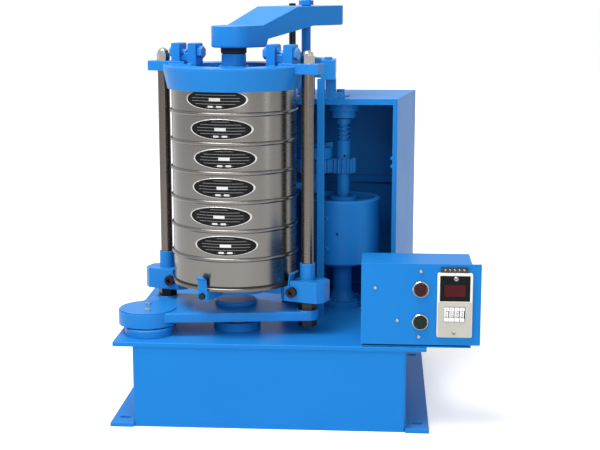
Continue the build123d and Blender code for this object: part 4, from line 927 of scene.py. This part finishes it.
rail_beads, bed_beads = [], []
for side in (-1.0, 1.0):
    x, across, up, down = side * BASE_SIDE, (side, 0, 0), (0, 0, 1), (0, 0, -1)
    start = (x, RAIL_BEAD_START, RAIL_TOP)
    rail_beads.append(weld_bead(start, RAIL_BEAD_LENGTH, across, up, RAIL_BEAD_R))
    for place in BED_BEAD_STARTS:
        start = (x, place, BED_UNDER)
        bed_beads.append(weld_bead(start, BED_BEAD_LENGTH, across, down, BED_BEAD_R))
rail_welds = new_piece("rail_welds", *joined(rail_beads), cast_enamel, "frame", "blue_enamel")
bed_welds = new_piece("bed_welds", *joined(bed_beads), cast_enamel, "frame", "blue_enamel")
for piece, beads in ((rail_welds, rail_beads), (bed_welds, bed_beads)):
    print(piece.name, len(beads), "faces", len(piece.data.polygons))

# %% [markdown]
# The machine stands on a pale floor under a white world. The camera, the mirror rays and the
# rays through glass see that white, and the object is lit by a dimmer world, so that pale
# surfaces don't clip. One bright world for all rays would be simpler, but it would wash the
# enamel out.

# %% Floor
WHITE, FLOOR_GREY = (1.0, 1.0, 1.0, 1.0), (0.86, 0.86, 0.86, 1.0)
HALF = 9.0
floor_corners = [(-HALF, -HALF, 0), (HALF, -HALF, 0), (HALF, HALF, 0), (-HALF, HALF, 0)]
floor_mesh = bpy.data.meshes.new("floor")
floor_mesh.from_pydata(floor_corners, [], [(0, 1, 2, 3)])
floor = bpy.data.objects.new("floor", floor_mesh)
bpy.context.collection.objects.link(floor)
floor_paint, floor_tree, floor_shader = new_material("floor_paint", 0.0, 0.7)
floor_shader.inputs["Base Color"].default_value = FLOOR_GREY
floor_shader.inputs["Emission Color"].default_value = WHITE


def seen_directly(tree):
    """One for camera, glossy and transmission rays, nought for the rays that light things."""
    path = node(tree, "ShaderNodeLightPath")
    either = maths(tree, "MAXIMUM", path.outputs["Is Camera Ray"], path.outputs["Is Glossy Ray"])
    return maths(tree, "MAXIMUM", either, path.outputs["Is Transmission Ray"])


floor_place = node(floor_tree, "ShaderNodeTexCoord").outputs["Object"]
away = node(floor_tree, "ShaderNodeVectorMath", {0: floor_place}, operation="LENGTH")
GLOW_FROM, GLOW_TO = 0.4, 2.4
GLOW_NEAR, GLOW_FAR = 0.36, 0.8
glow = node(
    floor_tree, "ShaderNodeMapRange",
    {
        "Value": away.outputs["Value"],
        "From Min": GLOW_FROM, "From Max": GLOW_TO, "To Min": GLOW_NEAR, "To Max": GLOW_FAR,
    },
    interpolation_type="SMOOTHSTEP",
)
shown_glow = maths(floor_tree, "MULTIPLY", seen_directly(floor_tree), glow.outputs[0])
floor_tree.links.new(shown_glow, floor_shader.inputs["Emission Strength"])
floor_mesh.materials.append(floor_paint)
print("floor glow", GLOW_NEAR, "to", GLOW_FAR)

# %% World
world = bpy.data.worlds.new("studio")
bpy.context.scene.world = world
world.use_nodes = True
world_tree = world.node_tree
AMBIENT = 0.44
strength = maths(world_tree, "MULTIPLY_ADD", seen_directly(world_tree), 1.0 - AMBIENT, AMBIENT)
background = world_tree.nodes["Background"]
background.inputs["Color"].default_value = WHITE
world_tree.links.new(strength, background.inputs["Strength"])
print("world strength on the object", AMBIENT)

# %% [markdown]
# Four soft lamps shape the machine. A broad key from the upper left and a large one over the
# top keep the colours plain, a fill near the camera reaches into the cabinet, and a narrow
# strip on the right draws a bright line down each round steel wall. Sun lamps would give
# harder shadows than a studio has. The camera doesn't see the lamps themselves.

# %% Lamps
def lamp(name, place, target, size, power):
    """Rectangular area lamp that looks at a target."""
    light = bpy.data.lights.new(name, "AREA")
    light.shape = "RECTANGLE"
    light.size, light.size_y = size
    light.energy = power
    item = bpy.data.objects.new(name, light)
    bpy.context.collection.objects.link(item)
    aim = (Vector(target) - Vector(place)).to_track_quat("-Z", "Y").to_matrix().to_4x4()
    item.matrix_world = Matrix.Translation(Vector(place)) @ aim
    item.visible_camera = False
    return item


lamps = [
    lamp("key", (-0.8, -2.5, 1.8), (0.0, 0.0, 0.35), (2.4, 0.7), 19.0),
    lamp("fill", (0.75, -2.5, 1.0), (0.05, 0.0, 0.35), (1.0, 1.0), 13.0),
    lamp("strip", (1.95, -0.95, 0.7), (-0.065, -0.102, 0.45), (0.2, 1.2), 1.8),
    lamp("top", (-0.7, -0.7, 2.4), (-0.1, -0.1, 0.2), (1.4, 1.4), 66.0),
]
print("lamps", len(lamps), "watts", round(sum(item.data.energy for item in lamps), 1))
